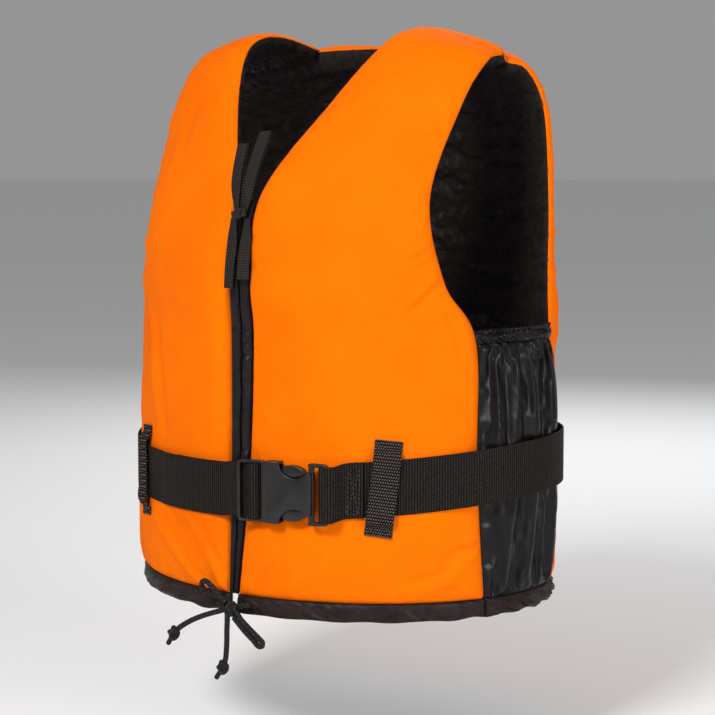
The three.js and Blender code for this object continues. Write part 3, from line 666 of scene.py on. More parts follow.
def settled(start, cut, held, frames, bending):
    """Cloth simulation of a grid of cloth that was cut larger than the form it is sewn to. The cloth
    begins at its cut size and is drawn to the start places over the first half of the frames; each
    point follows them as firmly as its held value says, and the surplus buckles into folds."""
    rows, columns = start.shape[:2]
    r, c = np.meshgrid(np.arange(rows - 1), np.arange(columns - 1), indexing="ij")
    corner = (r * columns + c).ravel()
    quads = np.stack([corner, corner + 1, corner + columns + 1, corner + columns], -1)
    mesh = bpy.data.meshes.new("cloth")
    mesh.from_pydata(placed(cut).reshape(-1, 3).tolist(), [], quads.tolist())
    cloth = bpy.data.objects.new("cloth", mesh)
    bpy.context.scene.collection.objects.link(cloth)
    cloth.shape_key_add(name="cut")
    worn = cloth.shape_key_add(name="worn")
    worn.data.foreach_set("co", placed(start).astype(np.float32).ravel())
    for value, frame_number in ((0.0, 1), (1.0, frames // 2)):
        worn.value = value
        worn.keyframe_insert("value", frame=frame_number)
    group = cloth.vertex_groups.new(name="held")
    for index, weight in enumerate(held.ravel()):
        group.add([index], float(weight), "REPLACE")
    simulation = cloth.modifiers.new("cloth", "CLOTH")
    simulation.point_cache.frame_start, simulation.point_cache.frame_end = 1, frames
    settings = simulation.settings
    settings.vertex_group_mass = "held"
    settings.quality = 6
    settings.mass = 0.02
    settings.tension_stiffness = settings.compression_stiffness = 15.0
    settings.shear_stiffness = 5.0
    settings.bending_stiffness = bending
    settings.air_damping = 2.0
    settings.effector_weights.gravity = 0.0
    for frame_number in range(1, frames + 1):
        bpy.context.scene.frame_set(frame_number)
    done = cloth.evaluated_get(bpy.context.evaluated_depsgraph_get()).to_mesh()
    points = np.zeros(rows * columns * 3)
    done.vertices.foreach_get("co", points)
    bpy.data.objects.remove(cloth)
    bpy.context.scene.frame_set(1)
    return points.reshape(rows, columns, 3) * 1000 + (0.0, 0.0, SHOULDER_HEIGHT)


def finer(grid, times):
    """A grid of values with so many times the rows and columns, on smooth curves through the old ones."""
    rows = smooth_rows(grid, np.linspace(0, len(grid) - 1, (len(grid) - 1) * times + 1))
    rows = rows.swapaxes(0, 1)
    return smooth_rows(rows, np.linspace(0, len(rows) - 1, (len(rows) - 1) * times + 1)).swapaxes(0, 1)


def capped(move, out, most_out, most_in):
    """A movement whose part along the outward direction levels off at a limit each way."""
    away = (move * out).sum(-1)
    limit = np.where(away > 0, most_out, most_in)
    return move + out * (limit * np.tanh(away / limit) - away)[..., None]


def belt_height(angle):
    """Height of the belt's middle: higher at the back, and slipped down at the wearer's right."""
    share = np.minimum(1, np.minimum(np.abs(angle), 360 - angle) / BELT_RISE_ANGLE)
    tilt = BELT_TILT * np.sin(np.radians(angle))
    return BELT_HEIGHT + tilt + BELT_RISE / 2 * (1 - np.cos(np.pi * share))


def under_belt(side, point):
    """1 where the belt or a belt loop lies on a panel, falling to 0 just outside them; the angle round
    the body is that of a point on an ellipse."""
    across = np.abs(point[..., 0])
    ahead = BELT_HALF_DEPTH * np.cos(np.arcsin(across / BELT_HALF_WIDTH))
    turn = np.degrees(np.arctan2(across, ahead))
    off = point[..., 2] - belt_height(turn if side == FRONT else 180 - turn)
    loop_x = FRONT_LOOP_X if side == FRONT else BACK_LOOP_X
    beside = np.abs(across - loop_x)
    belt = np.exp(-((off / 34.0) ** 8))
    loop = np.exp(-((off / 52.0) ** 8) - (beside / 19.0) ** 8)
    return np.maximum(belt, loop)


def shell_finish():
    """Orange woven nylon: fine plain weave, slight cloudiness from dyeing, a dull sheen."""
    material, tree, shader = node_chain("orange_nylon")
    u, v = texture_places(tree)
    cloud = noise(tree, 14.0, 4.0, 0.6)
    shade = colours_by(tree, cloud, (0.90, 0.148, 0.0006), (0.96, 0.170, 0.001), 0.3, 0.7)
    tree.links.new(shade, shader.inputs["Base Color"])
    shader.inputs["Roughness"].default_value = 0.75
    shader.inputs["Specular IOR Level"].default_value = 0.03
    shader.inputs["Sheen Weight"].default_value = 0.01
    shader.inputs["Sheen Roughness"].default_value = 0.5
    shader.inputs["Sheen Tint"].default_value = (1.0, 0.45, 0.05, 1.0)
    weave = maths(tree, "ADD", wave(tree, u, v, 1500, 0), wave(tree, u, v, 0, 1500))
    rumple = noise(tree, 60.0, 4.0, 0.55)
    height = maths(tree, "ADD", maths(tree, "MULTIPLY", weave, 0.03), rumple)
    bumped(tree, shader, height, 0.0011)
    return material


orange_nylon = shell_finish()

# Folds are given by x from the centre line and height above the hem at both ends, then width and height.
LEFT_FOLDS = [
    ((156, 457), (164, 431), 3.4, 0.9), ((151, 437), (163, 423), 2.8, 0.9),
    ((150, 427), (162, 415), 2.8, 0.8), ((150, 411), (161, 400), 3.0, 0.9),
    ((148, 387), (160, 392), 3.6, 0.8), ((148, 375), (160, 378), 4.0, 0.8),
    ((146, 327), (164, 342), 3.6, 1.1), ((148, 318), (166, 332), 3.4, 0.8),
    ((150, 286), (169, 312), 3.0, 1.6), ((179, 280), (188, 236), 3.6, 1.8),
    ((170, 262), (182, 226), 5.0, 0.8), ((189, 206), (192, 178), 3.4, 1.4),
    ((186, 68), (195, 80), 4.0, 1.5), ((194, 62), (184, 55), 5.0, 1.8), ((187, 58), (176, 35), 5.0, 1.8),
    ((178, 37), (156, 28), 6.0, 1.7), ((112, 76), (56, 27), 6.5, 1.2), ((60, 64), (34, 31), 5.0, 0.9),
    ((150, 78), (122, 34), 8.0, 0.7), ((30, 92), (15, 66), 5.0, 0.7), ((70, 452), (96, 470), 7.0, 0.6),
]
RIGHT_FOLDS = [
    ((133, 262), (112, 150), 9.0, 1.9), ((26, 270), (30, 150), 7.0, 0.8), ((112, 76), (68, 40), 6.0, 2.2),
    ((70, 42), (40, 22), 4.5, 1.6), ((98, 78), (48, 36), 6.0, 1.7), ((66, 84), (38, 60), 5.0, 1.2),
    ((31, 54), (8, 20), 4.5, 1.6), ((124, 458), (110, 390), 10.0, 1.0), ((66, 371), (42, 381), 3.6, 0.9),
    ((156, 457), (164, 431), 3.4, 0.9), ((150, 411), (161, 400), 3.0, 0.9),
    ((148, 375), (160, 378), 4.0, 0.8), ((146, 327), (164, 342), 3.6, 1.1),
    ((150, 286), (169, 312), 3.0, 1.4), ((179, 280), (188, 236), 3.6, 1.6),
]
BACK_FOLDS = [
    ((-178, 285), (-186, 238), 4.0, 1.6), ((178, 285), (186, 240), 4.0, 1.6),
    ((-160, 330), (-180, 344), 4.0, 1.2), ((160, 330), (180, 346), 4.0, 1.2),
    ((-120, 84), (-58, 28), 8.0, 2.0), ((112, 86), (62, 26), 8.0, 2.1), ((12, 72), (-12, 24), 9.0, 1.5),
    ((-150, 208), (-138, 152), 10.0, 1.6), ((148, 208), (136, 150), 9.0, 1.7),
    ((-60, 182), (40, 168), 13.0, 1.1), ((-176, 62), (-138, 26), 6.0, 2.2),
    ((174, 64), (136, 26), 6.0, 2.2), ((-160, 398), (-178, 408), 4.5, 0.9),
    ((160, 402), (178, 396), 4.5, 0.9), ((-158, 460), (-176, 452), 4.5, 0.9),
    ((158, 462), (176, 456), 4.5, 0.9), ((-96, 470), (-20, 488), 10.0, 1.0),
    ((24, 486), (104, 466), 10.0, 1.0), ((-40, 66), (-64, 24), 6.0, 1.5), ((44, 60), (30, 24), 6.0, 1.4),
]


def shell_relief(grid, seed, folds):
    """How far the cloth stands off its smooth form: broad unevenness, puckers along each seam, folds."""
    across, height = grid["point"][..., 0], grid["point"][..., 2]
    near = nearest_seam(grid)
    broad = random_waves(seed, (120.0, 150.0), across, grid["hem"]) * 1.1
    broad += random_waves(seed + 1, (46.0, 60.0), across, grid["hem"]) * 0.28
    relief = broad * crown(near, 60.0)
    relief += 0.35 * pucker(seed + 2, grid["outer"], grid["hem"], 16.0, 24.0)
    relief += 0.25 * pucker(seed + 3, grid["inner"], grid["hem"], 9.0, 22.0)
    relief += 0.5 * pucker(seed + 4, grid["hem"], across, 12.0, 20.0)
    relief += 0.4 * pucker(seed + 5, grid["shoulder"], across, 10.0, 20.0)
    relief += 1.3 * creases(across, height, folds)
    return np.maximum(relief, DEEPEST_VALLEY) * np.minimum(1, near / 4.0)


def shell_part(side, seed, folds):
    """The shell of one panel, cut 1.5% larger than the foam's form and held by the foam except near the
    seams, where it puckers; then its folds, pressed flat under the belt, and the cloth's thickness."""
    coarse = panel_grid(side, 6.0)
    near = nearest_seam(coarse)
    start = coarse["point"] + coarse["normal"] * (0.5 + (SHELL_OUT - 0.5) * crown(near))[..., None]
    rough = start + coarse["normal"] * np.random.default_rng(seed).normal(size=near.shape)[..., None] * 0.15
    held = np.where(near < 0.5, 1.0, 0.08 + 0.8 * crown(near, 60.0))
    move = settled(rough, rough * SHELL_CUT, held, 14, 0.8) - start
    move = capped(move, coarse["normal"], 1.8, 1.8)
    move = move * (1 - 0.85 * crown(near, 60.0))[..., None]
    grid = {name: finer(values, 3) for name, values in coarse.items()}
    near = nearest_seam(grid)
    loose = (1 - under_belt(side, grid["point"])) * np.minimum(1, near / 4.0)
    lift = 0.5 + (SHELL_OUT - 0.7) * crown(near) + shell_relief(grid, seed, folds) * loose
    outer = grid["point"] + grid["normal"] * lift[..., None] + finer(move, 3) * loose[..., None]
    cloth = np.minimum(SHELL_THICKNESS, lift - 0.1)
    inner = outer - grid["normal"] * cloth[..., None]
    return two_faces(outer, inner, np.stack([grid["inner"], grid["hem"]], -1))


SHELLS = [
    ("shell_front_left", shell_part(FRONT, 21, LEFT_FOLDS), "front_shell_left"),
    ("shell_front_right", mirrored(shell_part(FRONT, 41, RIGHT_FOLDS)), "front_shell_right"),
    ("shell_back", shell_part(BACK, 61, BACK_FOLDS), "back_shell"),
]
for name, part, node in SHELLS:
    new_piece(name, *part, orange_nylon, stands_for=[node], slot="orange_shell")

# ---------------------------------------------------------------- ruched lining
# Thin black nylon, a little too large for its panel, so that it lies against the foam in small
# uneven puckers, with a flat strip along each edge where the seam holds it straight.
LINING_IN = 16.5
LINING_CUT = (1.04, 1.04, 1.12)


def nylon_finish(name, low, high, roughness, gloss, crumple):
    """Black nylon taffeta: satin, with fine crease bumps; the same crease noise darkens the colour in their
    hollows and lightens it on their tops, as painted shade and highlight.
    """
    material, tree, shader = node_chain(name)
    fold = noise(tree, 75.0, 5.0, 0.62)
    # Painted shade and highlight: the colour follows the crease bump, darker in its hollows and lighter on
    # its tops.
    tree.links.new(colours_by(tree, fold, low, high, 0.35, 0.7), shader.inputs["Base Color"])
    shader.inputs["Roughness"].default_value = roughness
    shader.inputs["Specular IOR Level"].default_value = gloss
    shader.inputs["Sheen Weight"].default_value = 0.02
    shader.inputs["Sheen Roughness"].default_value = 0.35
    bumped(tree, shader, fold, crumple)
    return material


# Both colours are tinted red: painted orange light bounced from the shell into the panels, on top of the
# lining's own black.
lining_nylon = nylon_finish(
    "lining_nylon", (0.009, 0.0055, 0.0055), (0.019, 0.012, 0.0115), 0.58, 0.16, 0.0005)


def lining_part(side, seed):
    """The lining of one panel, cut 12% too long, held loosely by the foam so that the surplus ruches
    across it, with smaller puckers on top; a strip along each seam is held flatter."""
    coarse = panel_grid(side, 4.6)
    near = nearest_seam(coarse)
    start = coarse["point"] - coarse["normal"] * (0.5 + (LINING_IN - 2.0) * crown(near))[..., None]
    rough = start + coarse["normal"] * np.random.default_rng(seed).normal(size=near.shape)[..., None] * 0.5
    held = np.where(near < 0.5, 1.0, np.where(near < 16.0, 0.5, 0.18))
    move = settled(rough, rough * LINING_CUT, held, 16, 0.05) - start
    move = capped(move, coarse["normal"], 3.2, 5.5)
    grid = {name: finer(values, 2) for name, values in coarse.items()}
    near = nearest_seam(grid)
    lift = 0.5 + (LINING_IN - 2.0) * crown(near)
    small = random_waves(seed + 1, (13.0, 7.0), grid["point"][..., 0], grid["hem"])
    small = 0.9 * np.abs(small) * np.clip((near - 14.0) / 8.0, 0, 1)
    inner = grid["point"] - grid["normal"] * (lift + small)[..., None] + finer(move, 2)
    outer = inner + grid["normal"] * np.minimum(0.7, lift - 0.1)[..., None]
    return two_faces(inner, outer, np.stack([grid["inner"], grid["hem"]], -1))


LININGS = [
    ("lining_front_left", lining_part(FRONT, 121), "front_lining_left"),
    ("lining_front_right", mirrored(lining_part(FRONT, 141)), "front_lining_right"),
    ("lining_back", lining_part(BACK, 161), "back_lining"),
]
for name, part, node in LININGS:
    new_piece(name, *part, lining_nylon, stands_for=[node], slot="lining")

# ---------------------------------------------------------------- thin side panels and their elastic
# One layer of glossy black nylon on each side, gathered onto an elastic at the top and into the hem
# casing at the bottom, so that long upright folds hang between them.
SIDE_TOP = 258.0
ELASTIC_HEIGHT = 9.0
EDGE_GAP = 0.08
SIDE_WIDTH = 118.0
SIDE_CUT = (1.2, 1.2, 1.01)
side_nylon = nylon_finish("side_nylon", (0.003, 0.0022, 0.0025), (0.006, 0.0045, 0.005), 0.34, 0.2, 0.0003)


def side_places(low, high, rows, columns):
    """Grid round the side of the body: angles, heights and the share across from front to back."""
    share, z = np.meshgrid(np.linspace(0, 1, columns), np.linspace(low, high, rows))
    start, end = edge_angle(FRONT, z) + EDGE_GAP, edge_angle(BACK, z) - EDGE_GAP
    return start + share * (end - start), z, share


def side_panel_part(seed):
    """One panel of thin cloth a fifth wider than its opening, sewn along all four edges: the surplus
    buckles into long upright folds, which the belt holds in."""
    low, high = HEM_HEIGHT + SEAM_GAP, SIDE_TOP - ELASTIC_HEIGHT - SEAM_GAP
    angle, z, share = side_places(low, high, 44, 25)
    rng = np.random.default_rng(seed)
    start, _, out = ring_point(angle, z, 0.8 + 0.2 * rng.normal(size=z.shape))
    sewn = (np.minimum(share, 1 - share) < 0.001) | (z < low + 0.1) | (z > high - 0.1)
    move = settled(start, start * SIDE_CUT, np.where(sewn, 1.0, 0.0), 36, 1.0) - start
    room = 12.0 - 5.0 * np.exp(-(((z - belt_height(angle)) / 33.0) ** 6))
    move = capped(move, out, room, 11.0)
    angle, z, share = (finer(values, 4) for values in (angle, z, share))
    sharp = random_waves(seed + 1, (9.0, 60.0), share * SIDE_WIDTH, z)
    gathered = np.exp(-(high - z) / 22.0) + 0.7 * np.exp(-(z - low) / 16.0)
    from_sides, from_ends = np.minimum(share, 1 - share) * 14.0, np.minimum(z - low, high - z) / 5.0
    pinned = np.minimum(1, np.minimum(from_sides, from_ends))
    outer, _, out = ring_point(angle, z, 0.8 + 0.7 * sharp * gathered * pinned)
    outer = outer + finer(move, 4)
    return two_faces(outer, outer - out * 0.6, np.stack([share * SIDE_WIDTH, z], -1))


def ruffle_part(seed):
    """Elastic casing: cloth gathered to deep small pleats, with a frill standing above the elastic."""
    top = ELASTIC_HEIGHT + 3.0
    angle, z, share = side_places(SIDE_TOP - ELASTIC_HEIGHT, SIDE_TOP - ELASTIC_HEIGHT + top, 22, 300)
    across = share * SIDE_WIDTH
    up = (z - (SIDE_TOP - ELASTIC_HEIGHT)) / top
    wander = 2.6 * random_waves(seed, (36.0, 14.0), across, z)
    size = 0.7 + 0.3 * random_waves(seed + 1, (22.0,), across)
    pleat = (1.5 * np.abs(np.sin(np.pi * (across + wander) / 5.6)) - 0.9) * size
    pinned = np.minimum(1, np.minimum(share, 1 - share) * 20.0)
    band = 2.2 * np.sin(np.pi * np.clip(up / 0.74, 0, 1)) - 0.9 * np.exp(-(((up - 0.74) / 0.07) ** 2))
    lift = 1.4 + pinned * (band + pleat * (2.3 + 1.2 * np.clip(up - 0.74, 0, 1) * 3.0))
    z = z + 1.1 * pleat * pinned * np.clip(up - 0.5, 0, 1) * 2.0
    outer, _, out = ring_point(angle, z, lift)
    return two_faces(outer, outer - out * (1.4 + 0.8 * pinned)[..., None], np.stack([across, z], -1))


for wearer_side, seed in (("left", 211), ("right", 231)):
    panel = new_piece(f"side_cloth_{wearer_side}", *worn_on(wearer_side, side_panel_part(seed)), side_nylon,
                      stands_for=[f"side_panel_{wearer_side}"], slot="thin_nylon")
    new_piece(f"side_elastic_ruffle_{wearer_side}", *worn_on(wearer_side, ruffle_part(seed + 9)), side_nylon,
              stands_for=[f"side_elastic_{wearer_side}"], slot="thin_nylon")

# ---------------------------------------------------------------- hem casing
# A black nylon tunnel sewn to the lower edge all round, top-stitched along its upper edge and drawn
# in by the cord inside it, so that it puckers.
HEM_START = 1.1
HEM_RADIUS = 195.0
HEM_SET_IN, HEM_TOP_UP = 0.6, 0.25
hem_nylon = nylon_finish("hem_nylon", (0.009, 0.0055, 0.0045), (0.026, 0.016, 0.0135), 0.46, 0.14, 0.0006)


def hem_part(start, end, seed, thickness, gather):
    """Closed tunnel between two angles: a flattened ring at each station, rippled along its length."""
    span = np.linspace(start, end, int(abs(end - start) / 0.42) + 2)
    turn = np.linspace(0, 2 * np.pi, 36, endpoint=False)
    angle, around = np.meshgrid(span, turn, indexing="ij")
    length = np.radians(angle) * HEM_RADIUS
    slant = length + 1.3 * HEM_HEIGHT * np.sin(around)
    ripple = 0.9 * np.abs(random_waves(seed, (24.0, 16.0), slant, 8.0 * np.sin(around)))
    ripple += 0.25 * random_waves(seed + 1, (8.0, 12.0), slant, 8.0 * np.cos(around))
    low_edge = 0.8 * random_waves(seed + 2, (44.0,), length) * gather
    upper = np.clip(np.sin(around), 0, 1)
    swell = gather * (ripple - 0.5) * (1 - 0.8 * upper)
    depth = thickness / 2 * np.sign(np.cos(around)) * np.abs(np.cos(around)) ** 0.55
    height = HEM_HEIGHT / 2 * (1 + np.sign(np.sin(around)) * np.abs(np.sin(around)) ** 0.6)
    height = height + np.where(np.sin(around) < 0, low_edge * -np.sin(around) * 0.5, 0) + HEM_TOP_UP
    ends = np.minimum(1, np.minimum(angle - start, end - angle) / 0.8 + 0.3)
    stand = (depth + np.cos(around) * swell) * ends - HEM_SET_IN
    points, _, _ = ring_point(angle, height, stand)
    return tube(points)


front_end, back_start = float(edge_angle(FRONT, 9.0)), float(edge_angle(BACK, 9.0))
new_piece("hem_casing_back", *hem_part(back_start, 360 - back_start, 301, 9.0, 1.0), hem_nylon,
          stands_for=["hem_back"], slot="thin_nylon")
for wearer_side, seed in (("left", 311), ("right", 331)):
    front = hem_part(HEM_START, front_end, seed, 9.0, 1.0)
    side = hem_part(front_end + EDGE_GAP, back_start - EDGE_GAP, seed + 5, 8.0, 1.7)
    new_piece(f"hem_casing_front_{wearer_side}", *worn_on(wearer_side, front), hem_nylon,
              stands_for=[f"hem_front_{wearer_side}"], slot="thin_nylon")
    new_piece(f"hem_casing_side_{wearer_side}", *worn_on(wearer_side, side), hem_nylon,
              stands_for=[f"hem_side_{wearer_side}"], slot="thin_nylon")

# ---------------------------------------------------------------- rolled edges of the front opening
# Two soft rolls of black nylon that close the gap between the front panels, each a strip folded over
# and sewn to its panel's edge.
NECK_POINT = 378.0
roll_nylon = nylon_finish("roll_nylon", (0.005, 0.004, 0.0045), (0.013, 0.010, 0.011), 0.4, 0.2, 0.0006)


def roll_part(seed, bulge, creases_at):
    """Flattened roll between the centre line and the panel's edge, with kinks where it is bent."""
    z = np.linspace(HEM_HEIGHT + SEAM_GAP, NECK_POINT, 190)
    turn = np.linspace(0, 2 * np.pi, 28, endpoint=False)
    height, around = np.meshgrid(z, turn, indexing="ij")
    v = level_at_height(height)
    edge = smooth_rows(FRONT_LEVELS, v)[..., 4] - 1.0
    middle, half = (edge + 0.3) / 2, (edge - 0.3) / 2
    kink = sum(np.exp(-(((height - at) / 3.0) ** 2)) for at in creases_at)
    waver = random_waves(seed, (34.0, 20.0), height, 6 * np.sin(around))
    fine = random_waves(seed + 1, (11.0, 12.0), height, 6 * np.cos(around))
    x = middle + half * np.cos(around)
    ends = np.minimum(1, np.minimum(height - z[0], z[-1] - height) / 5.0 + 0.25)
    depth = (bulge + 0.5 * waver + 0.3 * fine - 1.3 * kink) * ends
    stand = np.sin(around) * np.minimum(depth, 2.4 + 0.5 * half)
    points = surface_point(FRONT, x, v) + surface_normal(FRONT, x, v) * stand[..., None]
    return tube(points)


ROLLS = {"left": (401, 4.6, (150.0, 236.0, 331.0)), "right": (421, 6.0, (168.0, 262.0, 318.0))}
for wearer_side, (seed, bulge, kinks) in ROLLS.items():
    new_piece(f"opening_roll_{wearer_side}", *worn_on(wearer_side, roll_part(seed, bulge, kinks)), roll_nylon,
              stands_for=[f"front_binding_{wearer_side}"], slot="thin_nylon")

# ---------------------------------------------------------------- waist belt
# 50 mm ribbed polypropylene webbing, 1.5 mm thick. It runs from the buckle's female end round the
# back to the adjuster strap, which turns over the bar of the male end and comes back as the free end.
BELT_WIDTH, WEBBING = 50.0, 1.5
BELT_STANDOFF = 10.8
BACK_LOOP_ANGLE = 145.0
LOOP_WIDTH, LOOP_LENGTH = 25.0, 86.0
BUCKLE_X, BUCKLE_STANDOFF, BUCKLE_LENGTH, BUCKLE_HEIGHT = 55.0, 18.0, 91.0, 56.0
MALE_BAR, FEMALE_BAR = (13.2, 19.4), (84.0, 89.0)
MOUTH, HOUSING_END, ARM_START, GUIDE_END = 28.6, 75.0, 70.0, 58.0
BAR_HALF = 2.0
LAYER_GAP = 0.3
WRAP = BAR_HALF + LAYER_GAP + WEBBING / 2
PINCH_REACH = 14.0


def front_angle(x):
    """Angle round the body at a distance x from the centre line, at the belt."""
    width = smooth_rows(FRONT_LEVELS, np.asarray(level_at_height(BELT_HEIGHT)))[2]
    return float(np.degrees(np.arcsin(x / width)))


buckle_angle, loop_angle = front_angle(BUCKLE_X), front_angle(FRONT_LOOP_X)
seat, _, seat_out = ring_point(np.array(buckle_angle), belt_height(buckle_angle), np.array(BUCKLE_STANDOFF))
buckle_turn = np.arctan2(seat_out[0], -seat_out[1])
ALONG_BUCKLE = np.array([np.cos(buckle_turn), np.sin(buckle_turn), 0.0])
INTO_BUCKLE = np.array([-np.sin(buckle_turn), np.cos(buckle_turn), 0.0])


def by_buckle(along, inward, up=0.0):
    """A place along the buckle from its male end, so deep towards the wearer, in vest millimetres."""
    along, inward, up = np.broadcast_arrays(along, inward, up)
    shift = (along - BUCKLE_LENGTH / 2)[..., None] * ALONG_BUCKLE + inward[..., None] * INTO_BUCKLE
    return seat + shift + up[..., None] * np.array([0.0, 0.0, 1.0])


def belt_run(start, end, count, standoff):
    """Places along the belt between two angles."""
    angle = np.linspace(start, end, count + 1)
    return ring_point(angle, belt_height(angle), np.broadcast_to(standoff, angle.shape))[0]


def round_bar(along, towards, degrees):
    """Places round a bar of the buckle: 0 degrees is the way towards points, 90 is the bar's outer face."""
    turn = np.radians(degrees)
    return by_buckle(along + towards * WRAP * np.cos(turn), -WRAP * np.sin(turn))


def webbing_strap(places, width, thickness, across=None, ribs=21, step=2.0, pinch=(0.0, 0.0)):
    """Ribbed webbing along places: the cross-section is a flat bar with rounded edges whose two faces
    wave in ribs; station by station it follows the path. Its width lies as near to the across
    direction as it can, or upright where none is given, so that a belt shears instead of turning.
    Pinch is how much narrower each end is drawn, over its last 14 mm."""
    path = even_path(places, step)
    if across is None:
        side = np.broadcast_to((0.0, 0.0, 1.0), path.shape)
        normal = unit(np.cross(np.gradient(path, axis=0), side))
    else:
        across = even_rows(across, len(path)) if np.ndim(across) == 2 else across
        _, side, normal = frames_along(path, across)
    half = np.linspace(-1, 1, ribs * 4 + 1)
    rib = 0.09 * thickness * np.cos(half * np.pi * ribs)
    round_off = np.sqrt(np.clip(1 - np.clip((np.abs(half) - 0.965) / 0.035, 0, 1) ** 2, 0.06, 1))
    top = (thickness / 2 * 0.93 + rib) * round_off
    w = np.concatenate([half, half[::-1]]) * width / 2
    h = np.concatenate([top, -top[::-1]])
    drawn_in = np.exp(-((step * np.arange(len(path)) / PINCH_REACH) ** 2))
    narrow = 1 - pinch[0] * drawn_in - pinch[1] * drawn_in[::-1]
    across_path = (narrow[:, None] * w)[..., None] * side[:, None]
    return tube(path[:, None] + across_path + h[None, :, None] * normal[:, None])


def even_rows(rows, count):
    """A short list of directions spread over a number of stations."""
    return unit(smooth_rows(rows, np.linspace(0, len(rows) - 1, count)))


def webbing_finish(name, per_along, per_across, low, high):
    """Black webbing: rows of short weft floats across it, each row half a float on from the last."""
    material, tree, shader = node_chain(name)
    u, v = texture_places(tree)
    rows = maths(tree, "ADD", wave(tree, u, v, per_along, 0), 0.6)
    floats = maths(tree, "ADD", wave(tree, u, v, per_along / 2, per_across), 0.5)
    fleck = maths(tree, "MULTIPLY", maths(tree, "MAXIMUM", rows, 0.0), maths(tree, "MAXIMUM", floats, 0.0))
    uneven = maths(tree, "MULTIPLY", noise(tree, 380.0, 3.0), 1.3)
    amount = maths(tree, "MULTIPLY", fleck, uneven)
    tree.links.new(colours_by(tree, amount, low, high, 0.15, 1.6), shader.inputs["Base Color"])
    shader.inputs["Roughness"].default_value = 0.65
    shader.inputs["Specular IOR Level"].default_value = 0.1
    bumped(tree, shader, fleck, 0.0003)
    return material


belt_webbing = webbing_finish("belt_webbing", 400.0, 640.0, (0.003, 0.002, 0.002), (0.075, 0.058, 0.047))
loop_webbing = webbing_finish("loop_webbing", 360.0, 440.0, (0.003, 0.002, 0.002), (0.17, 0.14, 0.12))

LIFT_ANGLE = 9.0
ADJUSTER_JOIN = 1.5
STRAP_INWARD = 4.4
FREE_END_ANGLE = -20.0
LAYER = WEBBING + LAYER_GAP
FREE_STANDOFF = 9.0 + LAYER_GAP + WEBBING / 2

belt_places = np.concatenate([
    by_buckle(np.array([FEMALE_BAR[0] + 1, FEMALE_BAR[1] + 2]), np.array([WRAP, WRAP + 0.3])),
    belt_run(buckle_angle + 15, 360 - loop_angle - ADJUSTER_JOIN, 56, BELT_STANDOFF),
])
new_piece("belt_webbing_round", *webbing_strap(belt_places, BELT_WIDTH, WEBBING), belt_webbing,
          stands_for=["belt"], slot="webbing")

sewn_places = np.concatenate([
    round_bar(FEMALE_BAR[0], -1, np.array([-20, 20, 60])),
    by_buckle(np.array([FEMALE_BAR[0] + 1, FEMALE_BAR[1] + 2]), np.array([-WRAP, -WRAP + 0.5])),
    belt_run(buckle_angle + 15, loop_angle - 5, 6, BELT_STANDOFF + WEBBING + 2 * LAYER_GAP),
])
new_piece("belt_sewn_end_fold", *webbing_strap(sewn_places, BELT_WIDTH, WEBBING, step=1.2), belt_webbing,
          stands_for=["belt_sewn_end"], slot="webbing")

adjuster_angles = np.linspace(-loop_angle - ADJUSTER_JOIN + 0.2, buckle_angle - 2 * LIFT_ANGLE, 13)
over_free_end = adjuster_angles > FREE_END_ANGLE - 5
adjuster_standoff = np.where(over_free_end, FREE_STANDOFF + LAYER + LAYER_GAP, BELT_STANDOFF)
adjuster_places = np.concatenate([
    ring_point(adjuster_angles, belt_height(adjuster_angles), adjuster_standoff)[0],
    by_buckle(
        np.array([-4, 5, MALE_BAR[0] - WRAP, *MALE_BAR, MALE_BAR[1] + WRAP, MALE_BAR[1] + 0.5]),
        np.array([STRAP_INWARD + 1.4, STRAP_INWARD, 0, -WRAP, -WRAP, 0, STRAP_INWARD])),
])
adjuster = new_piece("belt_adjuster_webbing", *webbing_strap(adjuster_places, BELT_WIDTH, WEBBING, step=1.2),
                     belt_webbing, body=None, stands_for=["belt_adjuster_strap"], slot="webbing")
# The straight part of the strap, between the loop and the buckle, is drawn up when the buckle opens; its two
# ends are worked out here, and nothing below uses them.
shortens_from, shortens_to = belt_run(-loop_angle - 3, FREE_END_ANGLE + 1, 1, BELT_STANDOFF)
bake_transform(adjuster)

free_places = np.concatenate([
    belt_run(FREE_END_ANGLE, buckle_angle - 2 * LIFT_ANGLE, 6, FREE_STANDOFF),
    by_buckle(np.array([-4, 5, MALE_BAR[1] - 1]),
              np.array([STRAP_INWARD + 1.4 + LAYER, STRAP_INWARD + LAYER, STRAP_INWARD + LAYER])),
])
new_piece("belt_free_end_webbing", *webbing_strap(free_places, BELT_WIDTH, WEBBING), belt_webbing,
          body="buckle_male_end", stands_for=["belt_free_end"], slot="webbing")

# ---------------------------------------------------------------- belt loops
# 25 mm webbing sewn upright above and below the belt, so that the belt slides through it.


def loop_strap(angle, tilt):
    """A belt loop: flat on the panel at both ends, arched over the belt between them, leaning a little."""
    middle = belt_height(angle)
    flat, over, half = FREE_STANDOFF, BELT_STANDOFF + 2 * LAYER, LOOP_LENGTH / 2
    heights = np.array([-half, -36, -30, -14, 0, 14, 30, 36, half])
    standoff = np.array([flat, flat, over, over, over, over, over, flat, flat])
    lean = angle + tilt * heights / half
    points, up, out = ring_point(lean, middle + heights, standoff)
    return webbing_strap(points, LOOP_WIDTH, WEBBING * 1.1, across=np.cross(up, out), ribs=11, step=1.5)


LOOPS = [
    ("belt_loop_sewn_front_left", loop_angle, 1.0, "belt_loop_front_left"),
    ("belt_loop_sewn_front_right", -loop_angle, -0.6, "belt_loop_front_right"),
    ("belt_loop_sewn_back_left", BACK_LOOP_ANGLE, 0.3, "belt_loop_back_left"),
    ("belt_loop_sewn_back_right", 360 - BACK_LOOP_ANGLE, -0.4, "belt_loop_back_right"),
]
for name, angle, tilt, node in LOOPS:
    new_piece(name, *loop_strap(angle, tilt), loop_webbing, stands_for=[node], slot="webbing")

